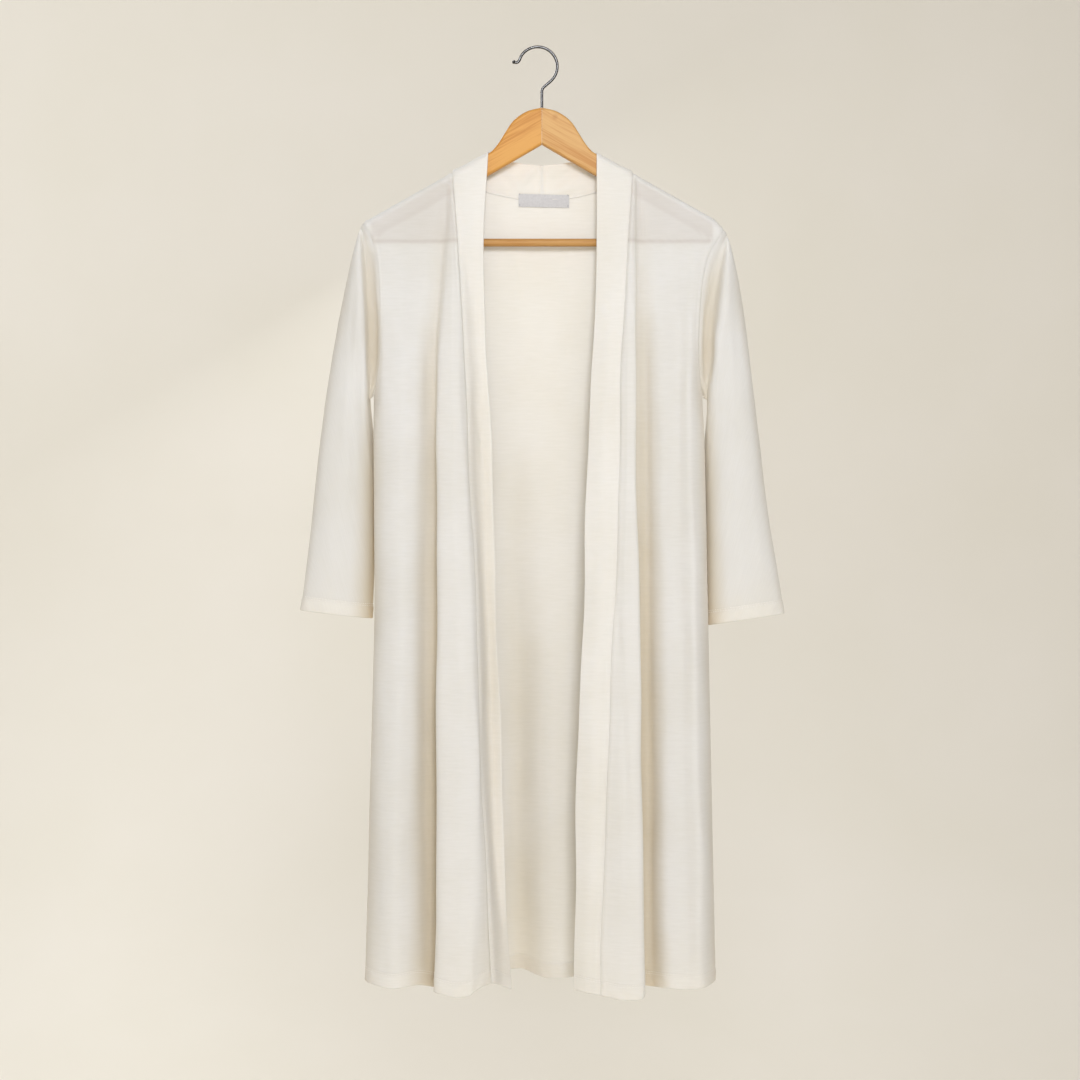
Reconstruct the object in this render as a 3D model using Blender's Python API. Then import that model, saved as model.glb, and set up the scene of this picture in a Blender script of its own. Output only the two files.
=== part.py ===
"""Duster cardigan in off-white jersey, hanging open on a wooden hanger with a steel hook.

Blender units are metres, +Z is up and the front faces -Y. The origin is the inside of the hook's
crest, where a rail carries it. The tables are in millimetres, and MM turns them to metres.
Left and right are those of a person who looks at the front, so left is -X.
"""
import math
from collections import namedtuple

import bmesh
import bpy
import numpy as np
from mathutils import Vector

MM = 0.001

# Cloth walls: one ply of jersey, the turned hem, and the folded neck band on its outer side.
JERSEY = 1.2
HEM_PLIES = 1.8
BAND_OUTER = 1.4
BAND_INNER = 0.6
SEAM_GAP = 0.3
HEM_DEPTH = 20.0

# Hanger: the wood's thickness, rounding and shoulder line, and the bar and hook that it holds.
WOOD = 12.0
WOOD_ROUNDING = 5.0
ARM_SLOPE = 0.5625
NECK_WIDTH = 61.0
NECK_Z = -124.0
BAR_RADIUS = 4.75
BAR_Z = -232.5
BAR_END = 199.0
WIRE_RADIUS = 1.75
HOOK_RADIUS = 23.5
HOOK_CENTRE_X = -5.0
HOOK_START = math.radians(168)
HOOK_END = math.radians(-44)
TIP = (-33.5, -15.8)
TIP_RADIUS = 2.3
STEM_TOP_Z = -49.0
STEM_END_Z = -99.0
FIT = 0.3

# How the cloth lies over an arm: the radius of its bend, its height above the wood, and how far
# it sags past the arm's end on the right.
BEND = 9.0
LIFT = 1.2
SAG = 5.5
SAG_FROM = 205.0
SAG_TO = 218.6

# Heights at which the fold tables give their sizes, between the top edge and the hem, and the
# lengths of the armhole and of the whole side below the shoulder point.
LEVELS = (-240.0, -400.0, -640.0, -880.0)
ARMHOLE_LENGTH = 208.0
SIDE_LENGTH = 907.0

# Mesh density: cells between two folds, rows down the armhole and rows down the skirt.
CELLS_PER_FOLD = 3
BEND_ANGLES = (0.0, 25.0, 50.0, 78.0)
ARMHOLE_ROWS = 9
SKIRT_ROWS = 10
BAND_CELLS = 2

FrontFold = namedtuple(
    "FrontFold", "name x_top x_yoke x_chest x_waist x_knee x_hem y_yoke y_chest y_waist y_knee y_hem hem_z"
)
BackFold = namedtuple(
    "BackFold", "name place x_yoke x_chest x_waist x_knee x_hem y_yoke y_chest y_waist y_knee y_hem hem_z"
)
SidePoint = namedtuple("SidePoint", "name drop x y_front y_back")
NeckPoint = namedtuple("NeckPoint", "name place x y seam_z edge_x edge_y edge_z")
Ring = namedtuple("Ring", "name outer_x outer_z inner_x inner_y inner_z front back bow skew cells")
ArmSection = namedtuple("ArmSection", "name x top bottom thickness")

# Fold lines of each front: the neck band's free edge, its roll and its seam, then the front's own
# as far as the last one before the side.
FRONT_FOLDS = {
    "left": (
        FrontFold("edge", -64.5, -70, -64, -55, -47.5, -38, -14, -15, -18, -20, -18, -1124),
        FrontFold("roll", -85.5, -84, -76, -67, -59, -49, -14.5, -13.5, -14, -16, -29, -1118),
        FrontFold("seam", -106.6, -99, -90, -78.5, -70, -59, -18, -27, -38, -46, -46, -1112),
        FrontFold("ridge", -108, -102, -95, -84, -74.5, -75, -21, -34, -47, -56, -61, -1117),
        FrontFold("bank", -108.7, -104.5, -101.5, -92.5, -85, -84, -20.5, -36, -50, -60, -66, -1122),
        FrontFold("pleat", -109.5, -106.5, -109, -103.5, -99, -99.5, -20, -36, -50, -60, -66, -1125),
        FrontFold("pleat_side", -111, -111.5, -123.5, -123.5, -124, -124.5, -17, -30, -42, -51, -55, -1121),
        FrontFold("recess", -114, -119, -127, -123.5, -121.5, -120.5, -10, -13, -13, -13, -13, -1125),
        FrontFold("slope", -140, -136, -140.5, -141.5, -143.5, -146, -9.5, -20, -24, -27, -30, -1117),
        FrontFold("crest", -168, -166, -168.5, -168, -172.5, -177, -9.5, -27, -35, -40, -44, -1119),
        FrontFold("flank", -194, -189, -189, -192.5, -197, -202.5, -10.5, -20, -22, -25, -27, -1116),
    ),
    "right": (
        FrontFold("edge", 66, 66, 58.5, 50.5, 42, 38, -15, -24, -33, -38, -41, -1120),
        FrontFold("roll", 87, 84, 76, 68.5, 58.5, 53, -17.5, -30, -40, -46, -50, -1122),
        FrontFold("seam", 108.2, 101.5, 93.5, 86.5, 75.5, 68.5, -18, -32, -42, -48, -53, -1125),
        FrontFold("strip", 110, 106.5, 101.5, 100, 98, 95.5, -20, -37, -48, -57, -62, -1129),
        FrontFold("ridge", 112, 110.5, 110, 113.5, 117, 118.5, -18, -36, -47, -56, -62, -1127),
        FrontFold("tuck", 113.5, 113.5, 110.5, 113.5, 117.5, 119, -12, -19, -18, -17, -16, -1120),
        FrontFold("recess", 118, 120, 122, 126, 129, 130, -9.5, -13.5, -14, -15, -15, -1121),
        FrontFold("rise", 142, 142.5, 143, 145.5, 146.5, 147.5, -9.5, -20, -24, -27, -30, -1121),
        FrontFold("trough", 166, 164, 163.5, 165.5, 169, 172, -9.5, -19, -25, -29, -33, -1122),
        FrontFold("crest", 187.5, 181, 176.5, 180.5, 186.5, 190, -11, -24, -31, -34, -36, -1120),
    ),
}

# The armhole seam and, below the underarm, the side seam, by the drop below the shoulder point.
SIDE_POINTS = {
    "left": (
        SidePoint("shoulder", 0, -214.6, -9, 9),
        SidePoint("cap", 26, -201.5, -10, 10),
        SidePoint("upper", 53, -196.5, -12, 12),
        SidePoint("middle", 105, -193.5, -14, 13),
        SidePoint("lower", 152, -193.5, -13, 12),
        SidePoint("corner", 191, -198.5, -8, 7),
        SidePoint("underarm", 208, -202, 0, 0),
        SidePoint("waist", 431, -200, 0, 0),
        SidePoint("knee", 671, -205, 0, 0),
        SidePoint("hem", 907, -211, 0, 0),
    ),
    "right": (
        SidePoint("shoulder", 0, 218.6, -9, 9),
        SidePoint("cap", 33, 199.5, -10, 10),
        SidePoint("upper", 69, 192, -12, 12),
        SidePoint("middle", 111, 189, -13, 13),
        SidePoint("lower", 143, 188, -12, 11),
        SidePoint("corner", 185, 190.5, -7, 7),
        SidePoint("underarm", 202, 193, 0, 0),
        SidePoint("waist", 423, 198.2, 0, 0),
        SidePoint("knee", 663, 203, 0, 0),
        SidePoint("hem", 899, 208, 0, 0),
    ),
}

# Fold lines of the back. Place 0 is the shoulder point, 1 the neck point and 2 the centre back.
BACK_FOLDS = {
    "left": (
        BackFold("flank", 0.2, -190, -190, -194, -198, -203, 11, 17, 20, 23, 25, -1116),
        BackFold("ridge_a", 0.5, -166, -168, -168, -170, -172, 10.5, 25, 33, 40, 45, -1119),
        BackFold("valley_a", 0.8, -138, -138, -137, -137, -137, 10, 15, 16, 18, 19, -1116),
        BackFold("neck", 1.0, -112, -112, -111, -110, -109, 10.5, 19, 30, 36, 40, -1118),
        BackFold("ridge_b", 1.4, -88, -88, -86, -84, -82, 11.5, 22, 40, 50, 55, -1119),
        BackFold("blade", 1.6, -62, -60, -58, -56, -55, 12.5, 20, 36, 47, 54, -1117),
        BackFold("hollow", 1.8, -32, -30, -29, -28, -27, 13.5, 20, 40, 54, 62, -1114),
    ),
    "centre": (BackFold("centre", 2.0, 0, 0, 0, 0, 2, 14, 19, 34, 42, 46, -1122),),
    "right": (
        BackFold("hollow", 1.8, 30, 30, 28, 27, 27, 13.5, 19, 32, 38, 40, -1122),
        BackFold("blade", 1.6, 60, 60, 60, 60, 60, 12.5, 22, 38, 46, 50, -1118),
        BackFold("ridge_b", 1.4, 86, 86, 88, 91, 94, 11.5, 22, 36, 42, 45, -1118),
        BackFold("neck", 1.0, 112, 112, 114, 116, 118, 10.5, 16, 20, 22, 24, -1117),
        BackFold("valley_a", 0.8, 138, 138, 140, 142, 144, 10, 16, 22, 26, 30, -1117),
        BackFold("ridge_a", 0.5, 165, 163, 166, 169, 172, 10.5, 24, 32, 38, 42, -1119),
        BackFold("flank", 0.2, 188, 183, 190, 195, 200, 11, 15, 18, 20, 22, -1117),
    ),
}

# Neck seam and free edge of the band behind the neck; x is a share of its value on the shoulder.
BEHIND = 1.25
NECK_POINTS = (
    NeckPoint("shoulder", 1.0, 1.0, 0.0, 0.0, 1.0, 0.0, 0.0),
    NeckPoint("behind", BEHIND, 0.955, 8.8, -153.5, 0.945, 8.8, -130.0),
    NeckPoint("shoulder_blade", 1.4, 0.82, 10.6, -163.0, 0.84, 10.8, -131.5),
    NeckPoint("side_neck", 1.6, 0.56, 12.6, -172.0, 0.62, 12.6, -133.5),
    NeckPoint("nape", 1.8, 0.27, 14.4, -178.0, 0.31, 13.6, -136.5),
    NeckPoint("centre", 2.0, 0.0, 15.0, -180.0, 0.0, 14.0, -138.0),
)

# Sleeve sections from the armhole to the cuff: where the outer and inner folds lie, how far the
# cloth stands to the front and back, and how many rows lead to the section from the one before.
# The inner fold lies behind the body's side, so no gap shows there.
SLEEVE_RINGS = {
    "left": (
        Ring("valley", -217.5, -216, -208, 0, -421, 3, 10, 5.5, 0, 2),
        Ring("ridge", -220, -222, -208, 3.5, -431, 23, 18, 2.5, 1, 2),
        Ring("biceps", -239, -301, -202.5, 12, -484, 25, 20, 0, 4, 3),
        Ring("elbow", -260, -431, -201.5, 14, -547, 25, 20, 0, 5, 3),
        Ring("forearm", -277.5, -583, -202, 14, -619, 22, 18, 0, 5, 3),
        Ring("hemline", -286.5, -655, -203.5, 13, -665, 19, 16, 0, 4, 2),
        Ring("cuff", -289.5, -673, -204, 13, -683, 18, 15, 0, 4, 1),
    ),
    "right": (
        Ring("valley", 222.5, -226, 199.5, 0, -421, 5, 12, -7, 0, 2),
        Ring("ridge", 225, -233, 199, 4.5, -432, 23, 18, -2, 0, 2),
        Ring("biceps", 240.5, -307, 195.5, 12, -487, 25, 20, 0, 0, 3),
        Ring("elbow", 256, -433, 197, 13, -547, 25, 20, 0, 0, 3),
        Ring("forearm", 274, -574, 198.5, 12, -622, 22, 18, 0, 0, 3),
        Ring("hemline", 287.5, -659, 200, 11, -674, 19, 16, 0, 0, 2),
        Ring("cuff", 290, -677, 200.5, 11, -691, 18, 15, 0, 0, 1),
    ),
}

# Label at the nape: its size, place and tilt, and how far it stands in front of the neck seam.
LABEL_WIDTH = 61.0
LABEL_HEIGHT = 15.5
LABEL_THICKNESS = 0.8
LABEL_X = 2.5
LABEL_Z = -180.5
LABEL_TILT = -0.025
LABEL_STAND_OFF = 1.5
LABEL_CELLS = 8

# Upright sections of half the hanger, from the joint at the middle to the tip of the arm.
ARM_SECTIONS = (
    ArmSection("joint", 0.15, -71.0, -115.0, 12),
    ArmSection("crown", 15, -74.4, -123.7, 12),
    ArmSection("crown_side", 27, -80.8, -130.7, 12),
    ArmSection("neck_top", 36, -88.8, -135.9, 12),
    ArmSection("neck", 45, -102.6, -141.1, 12),
    ArmSection("neck_foot", 53, -115.0, -145.7, 12),
    ArmSection("arm_start", 61, -124.0, -150.4, 12),
    ArmSection("arm", 68, -127.9, -154.4, 12),
    ArmSection("arm_middle", 120, -157.2, -184.2, 12),
    ArmSection("arm_end", 172, -186.4, -214.0, 12),
    ArmSection("bar_seat", 187, -194.9, -232.0, 12),
    ArmSection("bar_boss", 194, -198.8, -239.0, 12),
    ArmSection("tip_start", 200, -203.0, -240.5, 12),
    ArmSection("tip", 204, -208.0, -236.5, 10),
    ArmSection("end", 206, -215.0, -229.5, 6.5),
)


def smooth(at, knots, values):
    """The value at a height on the curve through the table's values, with no overshoot."""
    x = -np.asarray(knots, float)
    v = np.asarray(values, float)
    step = np.diff(x)
    rise = np.diff(v) / step
    slope = np.empty_like(v)
    slope[0], slope[-1] = rise[0], rise[-1]
    same = rise[:-1] * rise[1:] > 0
    both = np.where(same, rise[:-1] * rise[1:] * 2 / np.where(same, rise[:-1] + rise[1:], 1), 0)
    slope[1:-1] = both
    q = np.clip(-at, x[0], x[-1])
    i = min(int(np.searchsorted(x, q, side="right")) - 1, len(step) - 1)
    t = (q - x[i]) / step[i]
    ease = t * t * (3 - 2 * t)
    bend_in = t * (1 - t) ** 2 * step[i] * slope[i]
    bend_out = t * t * (t - 1) * step[i] * slope[i + 1]
    return v[i] + (v[i + 1] - v[i]) * ease + bend_in + bend_out


def step_up(t):
    """0 below 0, 1 above 1, and smooth between."""
    t = min(max(t, 0.0), 1.0)
    return t * t * (3 - 2 * t)


def curve_through(points, cells, before=None, after=None):
    """A centripetal curve through the points, with that many cells in each stretch."""
    points = [np.asarray(p, float) for p in points]
    first = 2 * points[0] - points[1] if before is None else np.asarray(before, float)
    last = 2 * points[-1] - points[-2] if after is None else np.asarray(after, float)
    line = [first, *points, last]
    counts = [cells] * (len(points) - 1) if isinstance(cells, int) else cells
    made = []
    for i, count in enumerate(counts):
        a, b, c, d = line[i : i + 4]
        t0 = 0.0
        t1 = t0 + max(np.linalg.norm(b - a), 1e-6) ** 0.5
        t2 = t1 + max(np.linalg.norm(c - b), 1e-6) ** 0.5
        t3 = t2 + max(np.linalg.norm(d - c), 1e-6) ** 0.5
        for n in range(count):
            t = t1 + (t2 - t1) * n / count
            ab = (a * (t1 - t) + b * (t - t0)) / (t1 - t0)
            bc = (b * (t2 - t) + c * (t - t1)) / (t2 - t1)
            cd = (c * (t3 - t) + d * (t - t2)) / (t3 - t2)
            abc = (ab * (t2 - t) + bc * (t - t0)) / (t2 - t0)
            bcd = (bc * (t3 - t) + cd * (t - t1)) / (t3 - t1)
            made.append((abc * (t2 - t) + bcd * (t - t1)) / (t2 - t1))
    made.append(points[-1])
    return np.array(made)


def arm_top(x):
    """Height of the wood's straight shoulder at a distance from the centre."""
    return NECK_Z - ARM_SLOPE * (abs(x) - NECK_WIDTH)


def shoulder_z(x):
    """Height of the cloth's middle over the arm. The right shoulder sags past the arm's tip."""
    return arm_top(x) + LIFT - SAG * step_up((x - SAG_FROM) / (SAG_TO - SAG_FROM))


def over_the_arm(drop):
    """Share of its full depth that the cloth has reached this far below the shoulder seam."""
    turned = min(max(drop / BEND, 0.0), 1.0)
    return math.sqrt(1 - (1 - turned) ** 2)


def row_shares():
    """Share of the way from the top edge to the hem of each row, the same for every panel."""
    drops = [BEND * (1 - math.cos(math.radians(a))) for a in BEND_ANGLES]
    bent = drops[-1]
    for i in range(1, ARMHOLE_ROWS + 1):
        ease = (1 - math.cos(math.pi * i / ARMHOLE_ROWS)) / 2
        drops.append(bent + (ARMHOLE_LENGTH - bent) * ease)
    for i in range(1, SKIRT_ROWS + 1):
        drops.append(ARMHOLE_LENGTH + (SIDE_LENGTH - HEM_DEPTH - ARMHOLE_LENGTH) * i / SKIRT_ROWS)
    drops.append(SIDE_LENGTH)
    return [drop / SIDE_LENGTH for drop in drops]


ROWS = row_shares()
UNDERARM_ROW = len(BEND_ANGLES) - 1 + ARMHOLE_ROWS
HEM_ROW = len(ROWS) - 2


def side_point(side, share, front):
    """A point of the armhole or side seam. Both sides reach the underarm in the same row."""
    table = SIDE_POINTS[side]
    top = shoulder_z(table[0].x)
    knots = [top - p.drop for p in table]
    under = next(top - p.drop for p in table if p.name == "underarm")
    hem = knots[-1]
    under_share = ROWS[UNDERARM_ROW]
    if share <= under_share:
        z = top + (under - top) * share / under_share
    else:
        z = under + (hem - under) * (share - under_share) / (1 - under_share)
    depth = smooth(z, knots, [p.y_front if front else p.y_back for p in table])
    return np.array([smooth(z, knots, [p.x for p in table]), depth * over_the_arm(top - z), z])


def front_fold_point(fold, share):
    """Where a fold line of the front lies in a row."""
    top = arm_top(fold.x_top) + LIFT
    z = top + (fold.hem_z - top) * share
    knots = (top, *LEVELS, fold.hem_z)
    x = smooth(z, knots, (fold.x_top, fold.x_yoke, fold.x_chest, fold.x_waist, fold.x_knee, fold.x_hem))
    y = smooth(z, knots, (-BEND, fold.y_yoke, fold.y_chest, fold.y_waist, fold.y_knee, fold.y_hem))
    return np.array([x, y * over_the_arm(top - z), z])


def neck_point(side):
    """Where the neck seam crosses the shoulder."""
    x = FRONT_FOLDS[side][2].x_top
    return np.array([x, 0.0, shoulder_z(x)])


def shoulder_edge(side):
    """Where the band's free edge crosses the shoulder."""
    x = FRONT_FOLDS[side][0].x_top
    return np.array([x, 0.0, arm_top(x) + LIFT])


def around_neck(side, place, edge):
    """A point of the neck seam, or of the band's free edge, from the shoulder to the centre back."""
    start = shoulder_edge(side) if edge else neck_point(side)
    knots = [-p.place for p in NECK_POINTS]
    share = smooth(-place, knots, [p.edge_x if edge else p.x for p in NECK_POINTS])
    x = start[0] * share
    if place > BEHIND:
        y = smooth(-place, knots, [p.edge_y if edge else p.y for p in NECK_POINTS])
        behind = over_wood(start[0] * (NECK_POINTS[1].edge_x if edge else NECK_POINTS[1].x), 1.0)
        heights = [start[2], behind[2]] + [p.edge_z if edge else p.seam_z for p in NECK_POINTS[2:]]
        return np.array([x, y, smooth(-place, knots, heights)])
    return over_wood(x, (place - 1.0) / (BEHIND - 1.0))


def over_wood(x, along):
    """A point of the cloth's bend behind the arm's top, part of the way round it."""
    angle = math.radians(BEND_ANGLES[-1]) * along
    return np.array([x, BEND * math.sin(angle), arm_top(x) + LIFT - BEND * (1 - math.cos(angle))])


def back_top_point(side, place):
    """A point of the back's top edge: the shoulder seam up to place 1, then the neck seam."""
    if place > 1.0:
        return around_neck(side, place, edge=False)
    outer = side_point(side, 0.0, front=False)
    x = outer[0] + (neck_point(side)[0] - outer[0]) * place
    return np.array([x, 0.0, shoulder_z(x)])


def back_fold_point(side, fold, share):
    """Where a fold line of the back lies in a row."""
    top = back_top_point(side, fold.place)
    z = top[2] + (fold.hem_z - top[2]) * share
    on_shoulder = fold.place <= 1.0
    knots = (top[2], *LEVELS, fold.hem_z)
    x = smooth(z, knots, (top[0], fold.x_yoke, fold.x_chest, fold.x_waist, fold.x_knee, fold.x_hem))
    start_y = BEND if on_shoulder else top[1]
    y = smooth(z, knots, (start_y, fold.y_yoke, fold.y_chest, fold.y_waist, fold.y_knee, fold.y_hem))
    return np.array([x, y * over_the_arm(top[2] - z) if on_shoulder else y, z])


def side_ghost(side, share, front):
    """The next point past the side seam, so that front and back meet in one round below the underarm."""
    at_seam = side_point(side, share, front)
    folds = BACK_FOLDS[side] if front else FRONT_FOLDS[side]
    if front:
        beyond = back_fold_point(side, folds[0] if side == "left" else folds[-1], share)
        inside = front_fold_point(FRONT_FOLDS[side][-1], share)
    else:
        beyond = front_fold_point(folds[-1], share)
        near = BACK_FOLDS[side][0] if side == "left" else BACK_FOLDS[side][-1]
        inside = back_fold_point(side, near, share)
    straight_on = 2 * at_seam - inside
    turned = step_up((share - ROWS[UNDERARM_ROW]) / 0.06)
    return straight_on * (1 - turned) + beyond * turned


def front_grid(side):
    """Rows of points of a front panel, from the neck band's seam to the side."""
    folds = FRONT_FOLDS[side]
    rows = []
    for share in ROWS:
        _, roll, *line = [front_fold_point(fold, share) for fold in folds]
        line.append(side_point(side, share, front=True))
        ghost = side_ghost(side, share, front=True)
        rows.append(curve_through(line, CELLS_PER_FOLD, before=roll, after=ghost))
    grid = np.array(rows)
    on_top = np.stack([[p[0], 0.0, shoulder_z(p[0])] for p in grid[0]])
    return eased_to_top(grid, on_top)


def eased_to_top(grid, top):
    """The grid with its first row moved onto the top edge, and the rows below it less and less."""
    shift = top - grid[0]
    drop = grid[0, :, 2] - grid[:, :, 2]
    fade = np.vectorize(lambda d: 1 - step_up(d / 60.0))(drop)
    return grid + shift[None] * fade[..., None]


def neck_places():
    """Places of the band's rows behind the neck, from the shoulder to the centre back."""
    turn = [1.0 + (BEHIND - 1.0) * a / BEND_ANGLES[-1] for a in BEND_ANGLES]
    rest = np.linspace(BEHIND, 2.0, 8)[1:]
    return [*turn, *rest]


def back_grid():
    """Rows of points of the back, from the left side to the right."""
    shoulder = list(np.linspace(0.0, 1.0, 9)[:-1])
    places = [*shoulder, *neck_places()]
    columns = [("left", p) for p in places] + [("right", p) for p in reversed(places[:-1])]
    rows = []
    for share in ROWS:
        line = [side_point("left", share, front=False)]
        stations = [("left", 0.0)]
        for side in ("left", "centre", "right"):
            for fold in BACK_FOLDS[side]:
                half = "left" if side == "centre" else side
                line.append(back_fold_point(half, fold, share))
                stations.append((half, fold.place))
        line.append(side_point("right", share, front=False))
        stations.append(("right", 0.0))
        across = [p if half == "left" else 4.0 - p for half, p in stations]
        ghosts = [side_ghost(half, share, front=False) for half in ("left", "right")]
        wanted = [p if half == "left" else 4.0 - p for half, p in columns]
        rows.append(placed_on_curve(line, across, wanted, *ghosts))
    grid = np.array(rows)
    top = np.stack([back_top_point(half, place) for half, place in columns])
    return eased_to_top(grid, top)


def placed_on_curve(line, stations, wanted, before, after):
    """Points of the curve through the line, at places measured between its stations."""
    fine = 24
    curve = curve_through(line, fine, before, after)
    position = np.interp(wanted, stations, np.arange(len(stations))) * fine
    low = np.minimum(position.astype(int), len(curve) - 2)
    part = (position - low)[:, None]
    return curve[low] * (1 - part) + curve[low + 1] * part


def band_grid(side):
    """Rows of points of half the neck band, from the hem up, over the arm and round to the centre back."""
    folds = FRONT_FOLDS[side]
    rows = []
    for share in reversed(ROWS):
        edge, roll, seam, inside = (front_fold_point(fold, share) for fold in folds[:4])
        if share == 0.0:
            seam, edge = neck_point(side), shoulder_edge(side)
        rows.append(curve_through([edge, roll, seam], BAND_CELLS, after=inside))
    for place in neck_places()[1:]:
        edge = around_neck(side, place, edge=True)
        seam = around_neck(side, place, edge=False)
        rows.append(np.linspace(edge, seam, 2 * BAND_CELLS + 1))
    return np.array(rows)


def ring_point(ring, share, front):
    """A point of a sleeve section, from its outer fold at share 0 to its inner fold at share 1."""
    round_it = 2 * math.sqrt(max(share * (1 - share), 0.0))
    y = -ring.front * round_it if front else ring.back * round_it
    x = ring.outer_x + (ring.inner_x - ring.outer_x) * share + ring.bow * round_it
    lean = ring.skew * share * (y / max(ring.front, ring.back))
    z = ring.outer_z + (ring.inner_z - ring.outer_z) * share
    return np.array([x + lean, y + ring.inner_y * share**2, z])


def sleeve_grid(side):
    """Rows of points from the armhole to the cuff; each runs down the front and up the back."""
    rings = SLEEVE_RINGS[side]
    around = [(j, True) for j in range(UNDERARM_ROW + 1)]
    around += [(j, False) for j in range(UNDERARM_ROW - 1, 0, -1)]
    lines = []
    for j, front in around:
        seam = side_point(side, ROWS[j], front)
        share = ROWS[j] / ROWS[UNDERARM_ROW]
        line = [seam] + [ring_point(ring, share, front) for ring in rings]
        lines.append(curve_through(line, [ring.cells for ring in rings]))
    return np.array(lines).transpose(1, 0, 2)


def grid_normals(grid, closed):
    """The normal at each point of a grid, across its rows and columns."""
    if closed:
        over = np.roll(grid, -1, axis=1) - np.roll(grid, 1, axis=1)
    else:
        over = np.gradient(grid, axis=1)
    down = np.gradient(grid, axis=0)
    normal = np.cross(over, down)
    return normal / np.maximum(np.linalg.norm(normal, axis=2, keepdims=True), 1e-9)


def border(grid, closed):
    """Index pairs of the points on a grid's open edges."""
    rows, columns = grid.shape[:2]
    ends = [(r, c) for r in (0, rows - 1) for c in range(columns)]
    if closed:
        return ends
    return ends + [(r, c) for c in (0, columns - 1) for r in range(1, rows - 1)]


def level_shoulder_normals(panel):
    """Turns the normals on the shoulder seam upright, so that front and back end on one plane."""
    for c in range(panel.grid.shape[1]):
        if abs(panel.grid[0, c, 1]) < 1e-6:
            panel.normal[0, c, 1] = 0.0
            panel.normal[0, c] /= np.linalg.norm(panel.normal[0, c])


def share_seam_normals(panels):
    """Gives the panels that meet at a seam point the same normal there, so that their ends are parallel."""
    meeting = {}
    for panel in panels:
        for index in border(panel.grid, panel.closed):
            key = tuple(np.round(panel.grid[index], 1))
            meeting.setdefault(key, []).append((panel, index))
    for found in meeting.values():
        total = sum(panel.normal[index] for panel, index in found)
        if len(found) > 1 and np.linalg.norm(total) > 0.3:
            for panel, index in found:
                panel.normal[index] = total / np.linalg.norm(total)


class Panel:
    """A piece of cloth: its middle surface as a grid, its normals and its two half thicknesses."""

    def __init__(self, name, grid, outward, outer=JERSEY / 2, inner=JERSEY / 2, closed=False):
        self.name, self.grid, self.closed = name, grid, closed
        self.outer = np.full(grid.shape[:2], outer)
        self.inner = np.full(grid.shape[:2], inner)
        self.normal = grid_normals(grid, closed) * outward

    def thicken_hem(self, rows):
        """Both plies of the turned hem, on the rows below the stitching."""
        self.outer[rows] += (HEM_PLIES - JERSEY) / 2
        self.inner[rows] += (HEM_PLIES - JERSEY) / 2

    def draw_back(self):
        """Pulls the edges in by half a seam gap."""
        grid = self.grid.copy()
        last = len(grid) - 1
        for here, inside in ((0, 1), (last, last - 1)):
            way = grid[inside] - grid[here]
            self.grid[here] += way / np.linalg.norm(way, axis=1, keepdims=True) * SEAM_GAP / 2
        if self.closed:
            return
        last = grid.shape[1] - 1
        for here, inside in ((0, 1), (last, last - 1)):
            way = grid[:, inside] - grid[:, here]
            self.grid[:, here] += way / np.linalg.norm(way, axis=1, keepdims=True) * SEAM_GAP / 2

    def build(self, material):
        """The closed wall: an outer skin, an inner skin and the rims between them."""
        rows, columns = self.grid.shape[:2]
        outer = self.grid + self.normal * self.outer[..., None]
        inner = self.grid - self.normal * self.inner[..., None]
        mesh = bmesh.new()
        skins = []
        for skin in (outer, inner):
            skins.append([[mesh.verts.new(Vector(p) * MM) for p in row] for row in skin])
        across = columns if self.closed else columns - 1
        for r in range(rows - 1):
            for c in range(across):
                n = (c + 1) % columns
                for skin in skins:
                    mesh.faces.new((skin[r][c], skin[r + 1][c], skin[r + 1][n], skin[r][n]))
        for r in (0, rows - 1):
            for c in range(across):
                n = (c + 1) % columns
                mesh.faces.new((skins[0][r][c], skins[0][r][n], skins[1][r][n], skins[1][r][c]))
        if not self.closed:
            for c in (0, columns - 1):
                for r in range(rows - 1):
                    mesh.faces.new((skins[0][r][c], skins[0][r + 1][c], skins[1][r + 1][c], skins[1][r][c]))
        bmesh.ops.recalc_face_normals(mesh, faces=mesh.faces)
        return finish_mesh(self.name, mesh, material)


def finish_mesh(name, mesh, material):
    """Makes the mesh an object in the cardigan's collection."""
    data = bpy.data.meshes.new(name)
    mesh.to_mesh(data)
    mesh.free()
    data.materials.append(material)
    data.shade_smooth()
    data.set_sharp_from_angle(angle=math.radians(50))
    made = bpy.data.objects.new(name, data)
    bpy.data.collections["cardigan_on_hanger"].objects.link(made)
    return made


def make_material(name, colour, roughness, metallic=0.0):
    """A Principled material of one colour."""
    made = bpy.data.materials.new(name)
    made.use_nodes = True
    shader = made.node_tree.nodes["Principled BSDF"]
    shader.inputs["Base Color"].default_value = (*colour, 1.0)
    shader.inputs["Roughness"].default_value = roughness
    shader.inputs["Metallic"].default_value = metallic
    return made


def make_garment(jersey):
    """Back, fronts, sleeves and the two halves of the neck band, a seam gap apart."""
    panels = [Panel("back", back_grid(), outward=1)]
    for side, turn in (("left", -1), ("right", 1)):
        panels.append(Panel(f"front_{side}", front_grid(side), outward=-turn))
        panels.append(Panel(f"sleeve_{side}", sleeve_grid(side), outward=turn, closed=True))
        panels.append(
            Panel(f"band_{side}", band_grid(side), outward=turn, outer=BAND_OUTER, inner=BAND_INNER)
        )
    for panel in panels:
        if panel.name.startswith(("back", "front")):
            level_shoulder_normals(panel)
            panel.thicken_hem(slice(HEM_ROW + 1, None))
        if panel.name.startswith("sleeve"):
            panel.thicken_hem(slice(-1, None))
    share_seam_normals(panels)
    for panel in panels:
        panel.draw_back()
        panel.build(jersey)


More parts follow.
